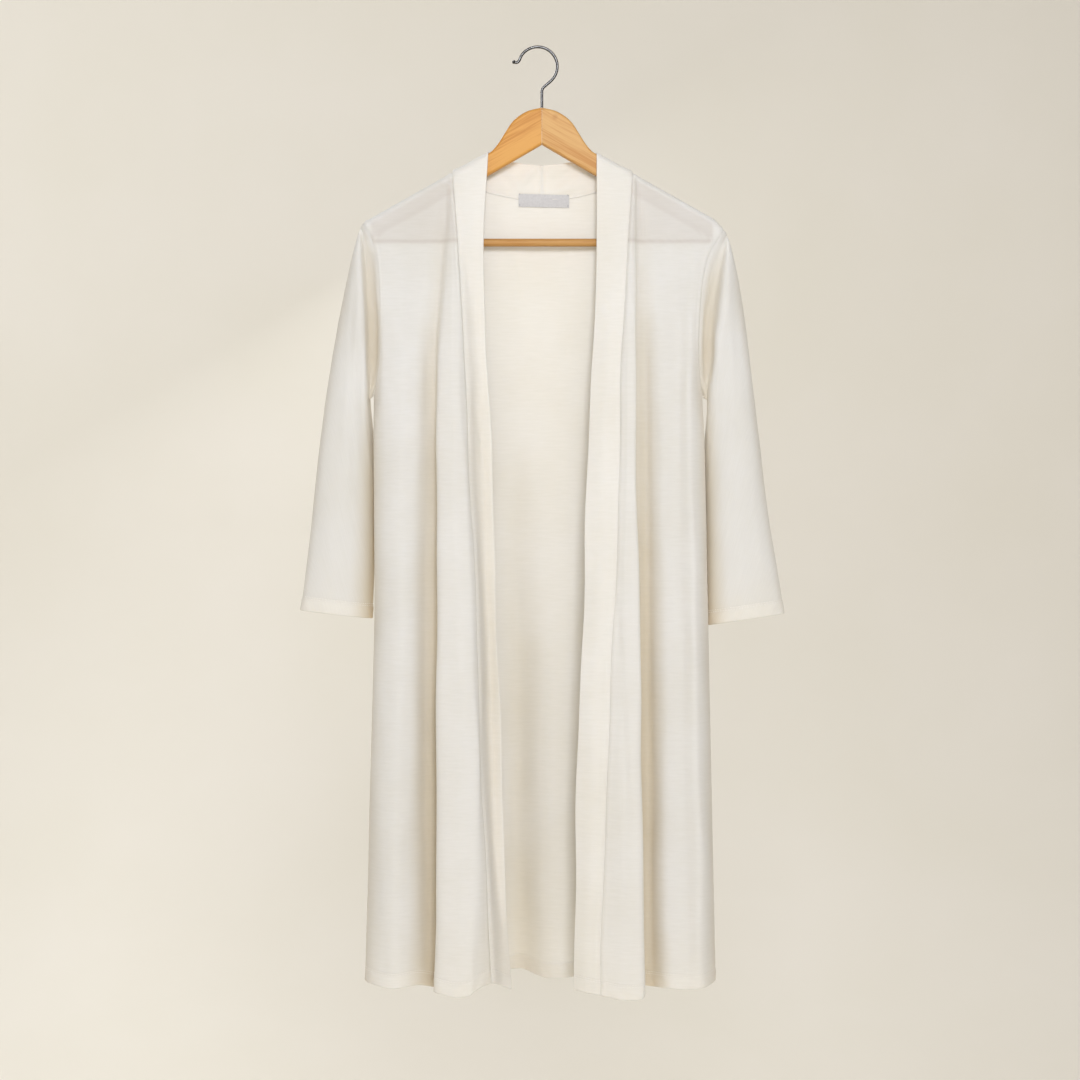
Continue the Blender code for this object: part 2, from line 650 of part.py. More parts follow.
def loft(name, sections, material):
    """A solid through sections that have the same number of points each, closed at both ends."""
    mesh = bmesh.new()
    rings = [[mesh.verts.new(Vector(p) * MM) for p in section] for section in sections]
    for near, far in zip(rings, rings[1:]):
        for i in range(len(near)):
            n = (i + 1) % len(near)
            mesh.faces.new((near[i], near[n], far[n], far[i]))
    mesh.faces.new(rings[0])
    mesh.faces.new(rings[-1])
    bmesh.ops.recalc_face_normals(mesh, faces=mesh.faces)
    return finish_mesh(name, mesh, material)


def arm_outline(side, section):
    """An upright section of the arm with rounded corners."""
    half = section.thickness / 2
    radius = min(WOOD_ROUNDING, half * 0.85)
    x = -section.x if side == "left" else section.x
    points = []
    top, bottom = section.top, section.bottom
    corners = ((half, top, 0), (-half, top, 90), (-half, bottom, 180), (half, bottom, 270))
    for y, z, start in corners:
        centre_y = y - math.copysign(radius, y)
        centre_z = z - radius if z == section.top else z + radius
        for turn in (0, 22.5, 45, 67.5, 90):
            angle = math.radians(start + turn)
            points.append((x, centre_y + radius * math.cos(angle), centre_z + radius * math.sin(angle)))
    return points


def cylinder(start, end, radius, sides):
    """A plain cylinder between two points."""
    start, end = Vector(start) * MM, Vector(end) * MM
    mesh = bmesh.new()
    bmesh.ops.create_cone(
        mesh,
        cap_ends=True,
        segments=sides,
        radius1=radius * MM,
        radius2=radius * MM,
        depth=(end - start).length,
    )
    turn = (end - start).to_track_quat("Z", "Y").to_matrix().to_4x4()
    bmesh.ops.transform(mesh, matrix=turn, verts=mesh.verts)
    bmesh.ops.translate(mesh, vec=(start + end) / 2, verts=mesh.verts)
    return mesh


def make_cutter(name, start, end, radius, sides):
    """A hidden cylinder that bores a hole."""
    data = bpy.data.meshes.new(name)
    mesh = cylinder(start, end, radius, sides)
    mesh.to_mesh(data)
    mesh.free()
    made = bpy.data.objects.new(name, data)
    made.hide_render = True
    made.display_type = "WIRE"
    bpy.data.collections["cutters"].objects.link(made)
    return made


def bore(wood, cutter):
    """Takes the cutter's shape out of the wood."""
    cut = wood.modifiers.new(cutter.name, "BOOLEAN")
    cut.operation = "DIFFERENCE"
    cut.solver = "EXACT"
    cut.object = cutter


def hook_path():
    """The middle of the wire, from the flicked tip over the crest and down the stem."""
    inside = HOOK_RADIUS - WIRE_RADIUS
    centre_z = -math.sqrt(inside**2 - HOOK_CENTRE_X**2)
    arc = []
    for i in range(19):
        angle = HOOK_START + (HOOK_END - HOOK_START) * i / 18
        x = HOOK_CENTRE_X + HOOK_RADIUS * math.cos(angle)
        arc.append((x, centre_z + HOOK_RADIUS * math.sin(angle)))
    return [TIP, *arc, (4.0, -44.8), (1.0, -47.6), (0.0, STEM_TOP_Z), (0.0, -60.0), (0.0, STEM_END_Z)]


def wire_sections(path):
    """Round sections square to the path."""
    sections = []
    for i, (x, z) in enumerate(path):
        near, far = path[max(i - 1, 0)], path[min(i + 1, len(path) - 1)]
        along = Vector((far[0] - near[0], 0.0, far[1] - near[1])).normalized()
        across = Vector((0, 1, 0)).cross(along)
        ring = []
        for n in range(10):
            angle = 2 * math.pi * n / 10
            way = across * math.cos(angle) + Vector((0, 1, 0)) * math.sin(angle)
            ring.append(Vector((x, 0.0, z)) + way * WIRE_RADIUS)
        sections.append(ring)
    return sections


def make_hook(metal):
    """The wire hook with the ball on its tip, in one piece."""
    hook = loft("hook", wire_sections(hook_path()), metal)
    mesh = bmesh.new()
    bmesh.ops.create_uvsphere(mesh, u_segments=12, v_segments=8, radius=TIP_RADIUS * MM)
    bmesh.ops.translate(mesh, vec=Vector((TIP[0], 0.0, TIP[1])) * MM, verts=mesh.verts)
    data = bpy.data.meshes.new("hook_ball")
    mesh.to_mesh(data)
    mesh.free()
    ball = bpy.data.objects.new("hook_ball", data)
    ball.hide_render = True
    ball.display_type = "WIRE"
    bpy.data.collections["cutters"].objects.link(ball)
    join = hook.modifiers.new("ball", "BOOLEAN")
    join.operation = "UNION"
    join.solver = "EXACT"
    join.object = ball


def make_hanger(wood, metal):
    """Two halves of wood with a glue line between them, the bar in their ends and the hook."""
    stem = make_cutter("stem_hole", (0, 0, -60), (0, 0, STEM_END_Z - FIT), WIRE_RADIUS + FIT, 10)
    seat_end = BAR_END + FIT
    seats = make_cutter("bar_holes", (-seat_end, 0, BAR_Z), (seat_end, 0, BAR_Z), BAR_RADIUS + FIT, 24)
    for side in ("left", "right"):
        sections = [arm_outline(side, section) for section in ARM_SECTIONS]
        arm = loft(f"hanger_{side}", sections, wood)
        bore(arm, stem)
        bore(arm, seats)
    mesh = cylinder((-BAR_END, 0, BAR_Z), (BAR_END, 0, BAR_Z), BAR_RADIUS, 24)
    finish_mesh("trouser_bar", mesh, wood)
    make_hook(metal)


def make_label(fabric):
    """A blank woven label across the neck seam, bent as the nape is."""
    sections = []
    for i in range(LABEL_CELLS + 1):
        along = (i / LABEL_CELLS - 0.5) * LABEL_WIDTH
        x = LABEL_X + along
        side = "left" if x < 0 else "right"
        ratio = abs(x / neck_point(side)[0])
        depth = smooth(-ratio, [-p.x for p in NECK_POINTS[::-1]], [p.y for p in NECK_POINTS[::-1]])
        y = depth - LABEL_STAND_OFF
        z = LABEL_Z + along * LABEL_TILT
        near, far = y - LABEL_THICKNESS / 2, y + LABEL_THICKNESS / 2
        low, high = z - LABEL_HEIGHT / 2, z + LABEL_HEIGHT / 2
        sections.append(((x, near, low), (x, far, low), (x, far, high), (x, near, high)))
    loft("label", sections, fabric)


def main():
    for old in list(bpy.data.objects):
        bpy.data.objects.remove(old)
    for name in ("cardigan_on_hanger", "cutters"):
        bpy.context.scene.collection.children.link(bpy.data.collections.new(name))
    jersey = make_material("jersey", (0.85, 0.84, 0.81), 0.85)
    satin = make_material("label satin", (0.78, 0.78, 0.79), 0.45)
    wood = make_material("lacquered wood", (0.72, 0.47, 0.24), 0.35)
    metal = make_material("chromed wire", (0.62, 0.62, 0.62), 0.15, metallic=1.0)
    make_garment(jersey)
    make_label(satin)
    make_hanger(wood, metal)


main()
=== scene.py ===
"""Looks of the duster cardigan on its hanger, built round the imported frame.

The cloth follows the same fold tables as the solids, in millimetres, with finer rows, seams,
turned hems, stitches and creases. Left and right are those of a person who looks at the front.
"""
import math
from collections import namedtuple

import bpy
import numpy as np
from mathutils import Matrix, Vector


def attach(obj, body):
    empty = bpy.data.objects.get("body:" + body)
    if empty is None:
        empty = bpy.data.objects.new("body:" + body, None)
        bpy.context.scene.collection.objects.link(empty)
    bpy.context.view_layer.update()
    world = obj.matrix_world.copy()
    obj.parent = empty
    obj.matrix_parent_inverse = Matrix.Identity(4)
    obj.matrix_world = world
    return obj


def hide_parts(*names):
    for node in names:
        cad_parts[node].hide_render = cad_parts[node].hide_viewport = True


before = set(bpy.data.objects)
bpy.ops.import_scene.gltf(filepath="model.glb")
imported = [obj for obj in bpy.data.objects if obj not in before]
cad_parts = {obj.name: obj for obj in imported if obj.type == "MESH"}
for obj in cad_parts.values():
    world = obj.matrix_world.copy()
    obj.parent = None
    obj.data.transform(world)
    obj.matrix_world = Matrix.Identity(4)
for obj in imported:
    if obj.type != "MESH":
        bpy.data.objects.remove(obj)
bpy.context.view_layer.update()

MM = 0.001

# Cloth: half the thickness of one ply of jersey and of the folded band, the gap and the roll of a
# seam, the turned hem and its two rows of stitches.
PLY = 0.42
BAND_OUTER = 1.15
BAND_INNER = 0.75
SEAM_GAP = 0.24
SEAM_ROLL = 1.1
SEAM_ROLL_WIDTH = 1.9
SEAM_RIDGE = 0.45
HEM_DEPTH = 17.5
HEM_PLY = 0.75
STITCH_ROWS = (14.6, 17.0)
STITCH_LENGTH = 2.5
STITCH_PITCH = 3.4
THREAD = 0.24

# Along one stitch: places as shares of its length, its thickness as shares of the thread's and its
# height over the cloth.
BEAD_PLACES = (0, 0.15, 0.5, 0.85, 1.0)
BEAD_RADII = (0.35, 0.9, 1.0, 0.9, 0.35)
BEAD_LIFTS = (-0.25, 0.05, 0.15, 0.05, -0.25)
BEAD_SIDES = 6

# Rows of points close to a hem, by their distance from its edge, and how far the last section of a
# sleeve lies from the one before.
HEM_ROWS = (19.6, 18.8, 18.2, 17.6, 17.0, 16.4, 15.8, 15.2, 14.6, 14.0, 13.0, 10.5, 7.5, 4.5, 2.4, 1.0, 0)
CUFF_LENGTH = 19.0

# Hanger sizes, as in the solids.
WOOD_ROUNDING = 3.2
GRAIN_SLOPE = 29.4
KNOT = (15.8, -6.0, -82.8)
ARM_SLOPE = 0.5625
NECK_WIDTH = 61.0
NECK_Z = -124.0
BAR_RADIUS = 4.75
BAR_Z = -232.5
BAR_END = 199.0
WIRE_RADIUS = 1.75
HOOK_RADIUS = 23.5
HOOK_CENTRE_X = -5.0
HOOK_START = math.radians(168)
HOOK_END = math.radians(-44)
TIP = (-33.5, -15.8)
TIP_RADIUS = 2.3
STEM_END_Z = -99.0

# How the cloth lies over an arm, and how far it sags past the arm's end on the right.
BEND = 9.0
LIFT = 1.2
SAG = 5.5
SAG_FROM = 205.0
SAG_TO = 218.6

# Heights of the yoke, chest, waist and knee, and lengths below the shoulder point of the left side.
LEVELS = (-240.0, -400.0, -640.0, -880.0)
ARMHOLE_LENGTH = 208.0
SIDE_LENGTH = 907.0

# Behind the neck the band bends over the wood, through an angle, up to this place on its way to the
# centre back, which is place 2.
BEHIND = 1.25
TURN_DEGREES = 78
TURN = math.radians(TURN_DEGREES)
CENTRE_BACK = 2.0
NECK_CELLS = 44

# Depth maps of the garment: the size of a cell, how many there are, where they start on the left,
# the depth of a cell with no cloth, and the depths below the cloth beside it at which a point starts
# to get painted shade and gets it in full, in millimetres.
CELL = 6.0
CELL_ROWS = 206
CELL_COLUMNS = 110
CELLS_FROM_X = -330
NO_CLOTH = -60.0
PAINTED_SHADE_FROM = 5
PAINTED_SHADE_FULL = 39

# Painted shade between the folds: how strongly each kind of piece shows it outside, how much its inner
# side gets all over and, on the back, how much its own folds add there, from and up to which depth.
OUTER_PAINTED_SHADE = {"back": 0.66, "front": 0.66, "sleeve": 1.0, "band": 0.25}
INNER_PAINTED_SHADE = {"back": 0.1, "front": 0.35, "sleeve": 0.35, "band": 0.05}
BACK_FOLD_PAINTED_SHADE = 0.45
BACK_PAINTED_SHADE_FROM = 1
BACK_PAINTED_SHADE_FULL = 17

# Studio, in metres: the floor, the far wall and the sweep between them.
FLOOR_Z = -1.75
WALL_Y = 3.2
WALL_TOP = 4.0
SWEEP_RADIUS = 1.2
SWEEP_STEPS = 12
SWEEP_FRONT = -3.2
SWEEP_HALF_WIDTH = 5.0
CAMERA_PLACE = (-0.0022, -2.8, -0.5892)
CAMERA_LENS = 77.8

FrontFold = namedtuple(
    "FrontFold", "name x_top x_yoke x_chest x_waist x_knee x_hem y_yoke y_chest y_waist y_knee y_hem hem_z"
)
BackFold = namedtuple(
    "BackFold", "name place x_yoke x_chest x_waist x_knee x_hem y_yoke y_chest y_waist y_knee y_hem hem_z"
)
SidePoint = namedtuple("SidePoint", "name drop x y_front y_back")
NeckPoint = namedtuple("NeckPoint", "name place x y seam_z edge_x edge_y edge_z")
Ring = namedtuple("Ring", "name outer_x outer_z inner_x inner_y inner_z front back bow skew")
ArmSection = namedtuple("ArmSection", "name x top bottom thickness")
Crease = namedtuple("Crease", "piece x1 z1 x2 z2 width depth")
Lamp = namedtuple("Lamp", "name place aim size power colour")

# Fold lines of each front: the neck band's free edge, its roll and its seam, then the front's own
# as far as the last one before the side.
FRONT_FOLDS = {
    "left": (
        FrontFold("edge", -64.5, -70, -64, -55, -47.5, -38, -14, -15, -18, -20, -18, -1124),
        FrontFold("roll", -85.5, -84, -76, -67, -59, -49, -14.5, -13.5, -14, -16, -29, -1118),
        FrontFold("seam", -106.6, -99, -90, -78.5, -70, -59, -18, -27, -38, -46, -46, -1112),
        FrontFold("ridge", -108, -102, -95, -84, -74.5, -75, -21, -34, -47, -56, -61, -1117),
        FrontFold("bank", -108.7, -104.5, -101.5, -92.5, -85, -84, -20.5, -36, -50, -60, -66, -1122),
        FrontFold("pleat", -109.5, -106.5, -109, -103.5, -99, -99.5, -20, -36, -50, -60, -66, -1125),
        FrontFold("pleat_side", -111, -111.5, -123.5, -123.5, -124, -124.5, -17, -30, -42, -51, -55, -1121),
        FrontFold("recess", -114, -119, -127, -123.5, -121.5, -120.5, -10, -13, -13, -13, -13, -1125),
        FrontFold("slope", -140, -136, -140.5, -141.5, -143.5, -146, -9.5, -20, -24, -27, -30, -1117),
        FrontFold("crest", -168, -166, -168.5, -168, -172.5, -177, -9.5, -27, -35, -40, -44, -1119),
        FrontFold("flank", -194, -189, -189, -192.5, -197, -202.5, -10.5, -20, -22, -25, -27, -1116),
    ),
    "right": (
        FrontFold("edge", 66, 66, 58.5, 50.5, 42, 38, -15, -24, -33, -38, -41, -1120),
        FrontFold("roll", 87, 84, 76, 68.5, 58.5, 53, -17.5, -30, -40, -46, -50, -1122),
        FrontFold("seam", 108.2, 101.5, 93.5, 86.5, 75.5, 68.5, -18, -32, -42, -48, -53, -1125),
        FrontFold("strip", 110, 106.5, 101.5, 100, 98, 95.5, -20, -37, -48, -57, -62, -1129),
        FrontFold("ridge", 112, 110.5, 110, 113.5, 117, 118.5, -18, -36, -47, -56, -62, -1127),
        FrontFold("tuck", 113.5, 113.5, 110.5, 113.5, 117.5, 119, -12, -19, -18, -17, -16, -1120),
        FrontFold("recess", 118, 120, 122, 126, 129, 130, -9.5, -13.5, -14, -15, -15, -1121),
        FrontFold("rise", 142, 142.5, 143, 145.5, 146.5, 147.5, -9.5, -20, -24, -27, -30, -1121),
        FrontFold("trough", 166, 164, 163.5, 165.5, 169, 172, -9.5, -19, -25, -29, -33, -1122),
        FrontFold("crest", 187.5, 181, 176.5, 180.5, 186.5, 190, -11, -24, -31, -34, -36, -1120),
    ),
}

# The armhole seam and, below the underarm, the side seam, by the drop below the shoulder point.
SIDE_POINTS = {
    "left": (
        SidePoint("shoulder", 0, -214.6, -9, 9),
        SidePoint("cap", 26, -201.5, -10, 10),
        SidePoint("upper", 53, -196.5, -12, 12),
        SidePoint("middle", 105, -193.5, -14, 13),
        SidePoint("lower", 152, -193.5, -13, 12),
        SidePoint("corner", 191, -198.5, -8, 7),
        SidePoint("underarm", 208, -202, 0, 0),
        SidePoint("waist", 431, -200, 0, 0),
        SidePoint("knee", 671, -205, 0, 0),
        SidePoint("hem", 907, -211, 0, 0),
    ),
    "right": (
        SidePoint("shoulder", 0, 218.6, -9, 9),
        SidePoint("cap", 33, 199.5, -10, 10),
        SidePoint("upper", 69, 192, -12, 12),
        SidePoint("middle", 111, 189, -13, 13),
        SidePoint("lower", 143, 188, -12, 11),
        SidePoint("corner", 185, 190.5, -7, 7),
        SidePoint("underarm", 202, 193, 0, 0),
        SidePoint("waist", 423, 198.2, 0, 0),
        SidePoint("knee", 663, 203, 0, 0),
        SidePoint("hem", 899, 208, 0, 0),
    ),
}

# Fold lines of the back. Place 0 is the shoulder point, 1 the neck point and 2 the centre back.
BACK_FOLDS = {
    "left": (
        BackFold("flank", 0.2, -190, -190, -194, -198, -203, 11, 17, 20, 23, 25, -1116),
        BackFold("ridge_a", 0.5, -166, -168, -168, -170, -172, 10.5, 25, 33, 40, 45, -1119),
        BackFold("valley_a", 0.8, -138, -138, -137, -137, -137, 10, 15, 16, 18, 19, -1116),
        BackFold("neck", 1.0, -112, -112, -111, -110, -109, 10.5, 19, 30, 36, 40, -1118),
        BackFold("ridge_b", 1.4, -88, -88, -86, -84, -82, 11.5, 22, 40, 50, 55, -1119),
        BackFold("blade", 1.6, -62, -60, -58, -56, -55, 12.5, 20, 36, 47, 54, -1117),
        BackFold("hollow", 1.8, -32, -30, -29, -28, -27, 13.5, 20, 40, 54, 62, -1114),
    ),
    "centre": (BackFold("centre", 2.0, 0, 0, 0, 0, 2, 14, 19, 34, 42, 46, -1122),),
    "right": (
        BackFold("hollow", 1.8, 30, 30, 28, 27, 27, 13.5, 19, 32, 38, 40, -1122),
        BackFold("blade", 1.6, 60, 60, 60, 60, 60, 12.5, 22, 38, 46, 50, -1118),
        BackFold("ridge_b", 1.4, 86, 86, 88, 91, 94, 11.5, 22, 36, 42, 45, -1118),
        BackFold("neck", 1.0, 112, 112, 114, 116, 118, 10.5, 16, 20, 22, 24, -1117),
        BackFold("valley_a", 0.8, 138, 138, 140, 142, 144, 10, 16, 22, 26, 30, -1117),
        BackFold("ridge_a", 0.5, 165, 163, 166, 169, 172, 10.5, 24, 32, 38, 42, -1119),
        BackFold("flank", 0.2, 188, 183, 190, 195, 200, 11, 15, 18, 20, 22, -1117),
    ),
}

# Neck seam and free edge of the band behind the neck; x is a share of its value on the shoulder.
NECK_POINTS = (
    NeckPoint("shoulder", 1.0, 1.0, 0.0, 0.0, 1.0, 0.0, 0.0),
    NeckPoint("behind", BEHIND, 0.955, 8.8, -153.5, 0.945, 8.8, -130.0),
    NeckPoint("shoulder_blade", 1.4, 0.82, 10.6, -163.0, 0.84, 10.8, -131.5),
    NeckPoint("side_neck", 1.6, 0.56, 12.6, -172.0, 0.62, 12.6, -133.5),
    NeckPoint("nape", 1.8, 0.27, 14.4, -178.0, 0.31, 13.6, -136.5),
    NeckPoint("centre", 2.0, 0.0, 15.0, -180.0, 0.0, 14.0, -138.0),
)

# Sleeve sections from the armhole to the cuff: where the outer and inner folds lie, how far the
# cloth stands to the front and back, and how it bows and leans between. The inner fold lies behind
# the body's side, so no gap shows there.
SLEEVE_RINGS = {
    "left": (
        Ring("valley", -217.5, -216, -208, 0, -421, 3, 10, 5.5, 0),
        Ring("ridge", -220, -222, -208, 3.5, -431, 23, 18, 2.5, 1),
        Ring("biceps", -239, -301, -202.5, 12, -484, 25, 20, 0, 4),
        Ring("elbow", -260, -431, -201.5, 14, -547, 25, 20, 0, 5),
        Ring("forearm", -277.5, -583, -202, 14, -619, 22, 18, 0, 5),
        Ring("hemline", -286.5, -655, -203.5, 13, -665, 19, 16, 0, 4),
        Ring("cuff", -289.5, -673, -204, 13, -683, 18, 15, 0, 4),
    ),
    "right": (
        Ring("valley", 222.5, -226, 199.5, 0, -421, 5, 12, -7, 0),
        Ring("ridge", 225, -233, 199, 4.5, -432, 23, 18, -2, 0),
        Ring("biceps", 240.5, -307, 195.5, 12, -487, 25, 20, 0, 0),
        Ring("elbow", 256, -433, 197, 13, -547, 25, 20, 0, 0),
        Ring("forearm", 274, -574, 198.5, 12, -622, 22, 18, 0, 0),
        Ring("hemline", 287.5, -659, 200, 11, -674, 19, 16, 0, 0),
        Ring("cuff", 290, -677, 200.5, 11, -691, 18, 15, 0, 0),
    ),
}

# Label at the nape: its size, place and tilt, and how far it stands in front of the neck seam.
LABEL_WIDTH = 61.0
LABEL_HEIGHT = 15.5
LABEL_X = 2.5
LABEL_Z = -180.5
LABEL_TILT = -0.025
LABEL_STAND_OFF = 1.85
LABEL_PLY = 0.18
LABEL_STITCH = 1.8

# Upright sections of half the hanger, from the joint at the middle to the tip of the arm.
ARM_SECTIONS = (
    ArmSection("joint", 0.15, -71.0, -115.0, 12),
    ArmSection("crown", 15, -74.4, -123.7, 12),
    ArmSection("crown_side", 27, -80.8, -130.7, 12),
    ArmSection("neck_top", 36, -88.8, -135.9, 12),
    ArmSection("neck", 45, -102.6, -141.1, 12),
    ArmSection("neck_foot", 53, -115.0, -145.7, 12),
    ArmSection("arm_start", 61, -124.0, -150.4, 12),
    ArmSection("arm", 68, -127.9, -154.4, 12),
    ArmSection("arm_middle", 120, -157.2, -184.2, 12),
    ArmSection("arm_end", 172, -186.4, -214.0, 12),
    ArmSection("bar_seat", 187, -194.9, -232.0, 12),
    ArmSection("bar_boss", 194, -198.8, -239.0, 12),
    ArmSection("tip_start", 200, -203.0, -240.5, 12),
    ArmSection("tip", 204, -208.0, -236.5, 10),
    ArmSection("end", 206, -215.0, -229.5, 6.5),
)

# Creases: where each starts and ends in the front view, how wide it is, and its depth,
# which is below zero for a ridge.
CREASES = (
    Crease("band_left", -81, -418, -76, -452, 2.0, 1.4),
    Crease("band_left", -76, -452, -69.5, -497, 2.0, 1.8),
    Crease("band_left", -69.5, -497, -62, -525, 2.2, 1.2),
    Crease("band_left", -30, -162, -8, -143, 4.0, 3.2),
    Crease("band_left", -48, -148, -34, -166, 5.0, -2.2),
    Crease("band_right", 10, -158, 42, -142, 4.0, -3.2),
    Crease("band_right", 14, -172, 46, -158, 5.0, 2.8),
    Crease("band_left", -98, -240, -84, -300, 6.0, 1.6),
    Crease("band_left", -84, -300, -76, -360, 7.0, 1.2),
    Crease("front_left", -112, -160, -106, -163, 2.5, 0.9),
    Crease("front_left", -122, -158, -112, -166, 3.0, -0.7),
    Crease("front_left", -113, -170, -114, -232, 3.5, 1.6),
    Crease("front_left", -136, -262, -140, -360, 11.0, -0.9),
    Crease("front_left", -160, -250, -150, -330, 9.0, 0.8),
    Crease("front_left", -134, -330, -137, -520, 8.0, 4.0),
    Crease("front_left", -137, -500, -137, -1090, 9.0, 5.0),
    Crease("front_left", -183, -300, -160, -395, 8.0, -0.9),
    Crease("front_left", -190, -372, -172, -430, 7.0, 0.8),
    Crease("front_left", -112, -700, -106, -790, 7.0, 0.6),
    Crease("front_left", -163, -720, -158, -860, 9.0, 0.8),
    Crease("front_left", -192, -900, -184, -1040, 8.0, -0.7),
    Crease("front_right", 88, -661, 94, -739, 4.0, 1.3),
    Crease("front_right", 94, -739, 102, -940, 5.0, 1.5),
    Crease("front_right", 116, -160, 120, -230, 4.0, 1.3),
    Crease("front_right", 124, -330, 125, -620, 5.0, 4.0),
    Crease("front_right", 125, -560, 128, -1090, 6.0, 5.0),
    Crease("front_right", 133, -250, 139, -350, 9.0, -0.9),
    Crease("front_right", 158, -300, 176, -392, 8.0, 0.9),
    Crease("front_right", 182, -360, 168, -440, 7.0, -0.8),
    Crease("front_right", 166, -560, 170, -720, 8.0, -0.7),
    Crease("front_right", 186, -780, 190, -930, 8.0, 0.8),
    Crease("sleeve_left", -203, -240, -201, -330, 3.5, 3.0),
    Crease("sleeve_left", -201, -310, -202, -400, 5.0, 6.0),
    Crease("sleeve_right", 204, -262, 199, -330, 3.5, 3.0),
    Crease("sleeve_right", 199, -310, 198, -395, 5.0, 6.0),
    Crease("sleeve_left", -232, -262, -243, -383, 7.0, 0.9),
    Crease("sleeve_left", -243, -383, -247, -545, 8.0, 0.9),
    Crease("sleeve_left", -262, -470, -268, -560, 8.0, -0.9),
    Crease("sleeve_left", -222, -480, -226, -600, 8.0, 0.9),
    Crease("sleeve_left", -210, -420, -236, -455, 6.0, 0.9),
    Crease("sleeve_right", 246, -560, 250, -668, 7.0, 1.5),
    Crease("sleeve_right", 232, -300, 240, -420, 8.0, 0.9),
    Crease("sleeve_right", 210, -430, 238, -470, 6.0, 0.9),
    Crease("sleeve_right", 224, -500, 222, -620, 8.0, -0.8),
    Crease("sleeve_right", 262, -500, 270, -600, 8.0, 0.8),
    Crease("back", -198, -250, -150, -330, 10.0, 0.9),
    Crease("back", 196, -256, 150, -340, 10.0, 0.9),
    Crease("back", -110, -170, -96, -280, 8.0, -0.9),
    Crease("back", 108, -172, 92, -300, 8.0, -0.9),
    Crease("back", -36, -190, -20, -330, 9.0, 0.7),
    Crease("back", 28, -195, 34, -420, 9.0, -0.7),
    Crease("back", -192, -400, -160, -470, 8.0, -0.8),
    Crease("back", 188, -402, 150, -500, 8.0, 0.8),
    Crease("back", -60, -600, -66, -820, 9.0, 0.9),
    Crease("back", 12, -700, 8, -960, 8.0, 0.9),
    Crease("back", 72, -640, 80, -900, 10.0, -0.8),
)

# Soft boxes: where each stands and what it points at, its size in metres, its watts and its colour.
LAMPS = (
    Lamp("key", (0.2, -2.9, 0.6), (0, 0, -0.35), (0.7, 0.8), 59, (0.90, 0.93, 1.0)),
    Lamp("low fill", (0.1, -2.9, -0.9), (0, 0, -0.8), (1.6, 0.8), 8, (1.0, 0.92, 0.78)),
    Lamp("fill", (-2.4, -2.4, -0.2), (0, 0, -0.6), (1.6, 2.2), 5, (1.0, 0.97, 0.92)),
    Lamp("wall left", (-2.3, 1.0, 0.6), (-0.6, 3.3, -0.1), (1.2, 1.6), 20, (0.97, 0.985, 1.0)),
    Lamp("wall right", (2.3, 1.0, 0.2), (0.9, 3.3, -0.8), (1.2, 1.6), 4, (1.0, 0.985, 0.97)),
    Lamp("wall centre", (0.0, 1.2, 1.7), (0, 3.3, -0.6), (1.6, 1.0), 5, (1.0, 0.99, 0.97)),
    Lamp("rear", (-0.9, 2.6, 0.9), (0, 0, -0.6), (1.4, 1.4), 30, (0.97, 0.98, 1.0)),
)


def smooth(at, knots, values):
    """Values at heights on the curve through the table's values, with no overshoot."""
    x = -np.asarray(knots, float)
    v = np.asarray(values, float)
    step = np.diff(x)
    rise = np.diff(v) / step
    slope = np.empty_like(v)
    slope[0], slope[-1] = rise[0], rise[-1]
    same = rise[:-1] * rise[1:] > 0
    slope[1:-1] = np.where(same, rise[:-1] * rise[1:] * 2 / np.where(same, rise[:-1] + rise[1:], 1), 0)
    q = np.clip(-np.asarray(at, float), x[0], x[-1])
    i = np.minimum(np.searchsorted(x, q, side="right") - 1, len(step) - 1)
    t = (q - x[i]) / step[i]
    ease = t * t * (3 - 2 * t)
    bend_in = t * (1 - t) ** 2 * step[i] * slope[i]
    bend_out = t * t * (t - 1) * step[i] * slope[i + 1]
    return v[i] + (v[i + 1] - v[i]) * ease + bend_in + bend_out


def step_up(t):
    """0 below 0, 1 above 1, and smooth between."""
    t = np.clip(t, 0.0, 1.0)
    return t * t * (3 - 2 * t)


def points(x, y, z):
    """Points from their three coordinates, which may be single numbers or rows of them."""
    return np.stack(np.broadcast_arrays(x, y, z), axis=-1).astype(float)


def spline(line, positions, before=None, after=None):
    """Centripetal curves through each row's points, at positions counted in points."""
    first = 2 * line[:, 0] - line[:, 1] if before is None else before
    last = 2 * line[:, -1] - line[:, -2] if after is None else after
    full = np.concatenate([first[:, None], line, last[:, None]], axis=1)
    gap = np.maximum(np.linalg.norm(np.diff(full, axis=1), axis=2), 1e-6) ** 0.5
    made = []
    for position in positions:
        i = min(int(position), line.shape[1] - 2)
        a, b, c, d = (full[:, i + k] for k in range(4))
        t1 = gap[:, i, None]
        t2 = t1 + gap[:, i + 1, None]
        t3 = t2 + gap[:, i + 2, None]
        t = t1 + (t2 - t1) * (position - i)
        ab = (a * (t1 - t) + b * t) / t1
        bc = (b * (t2 - t) + c * (t - t1)) / (t2 - t1)
        cd = (c * (t3 - t) + d * (t - t2)) / (t3 - t2)
        abc = (ab * (t2 - t) + bc * t) / t2
        bcd = (bc * (t3 - t) + cd * (t - t1)) / (t3 - t1)
        made.append((abc * (t2 - t) + bcd * (t - t1)) / (t2 - t1))
    return np.stack(made, axis=1)


def arm_top(x):
    """Height of the wood's straight shoulder at a distance from the centre."""
    return NECK_Z - ARM_SLOPE * (np.abs(x) - NECK_WIDTH)


def shoulder_z(x):
    """Height of the cloth's middle over the arm. The right shoulder sags past the arm's tip."""
    return arm_top(x) + LIFT - SAG * step_up((x - SAG_FROM) / (SAG_TO - SAG_FROM))


def over_the_arm(drop):
    """Share of its full depth that the cloth has reached this far below the shoulder seam."""
    turned = np.clip(drop / BEND, 0.0, 1.0)
    return np.sqrt(1 - (1 - turned) ** 2)


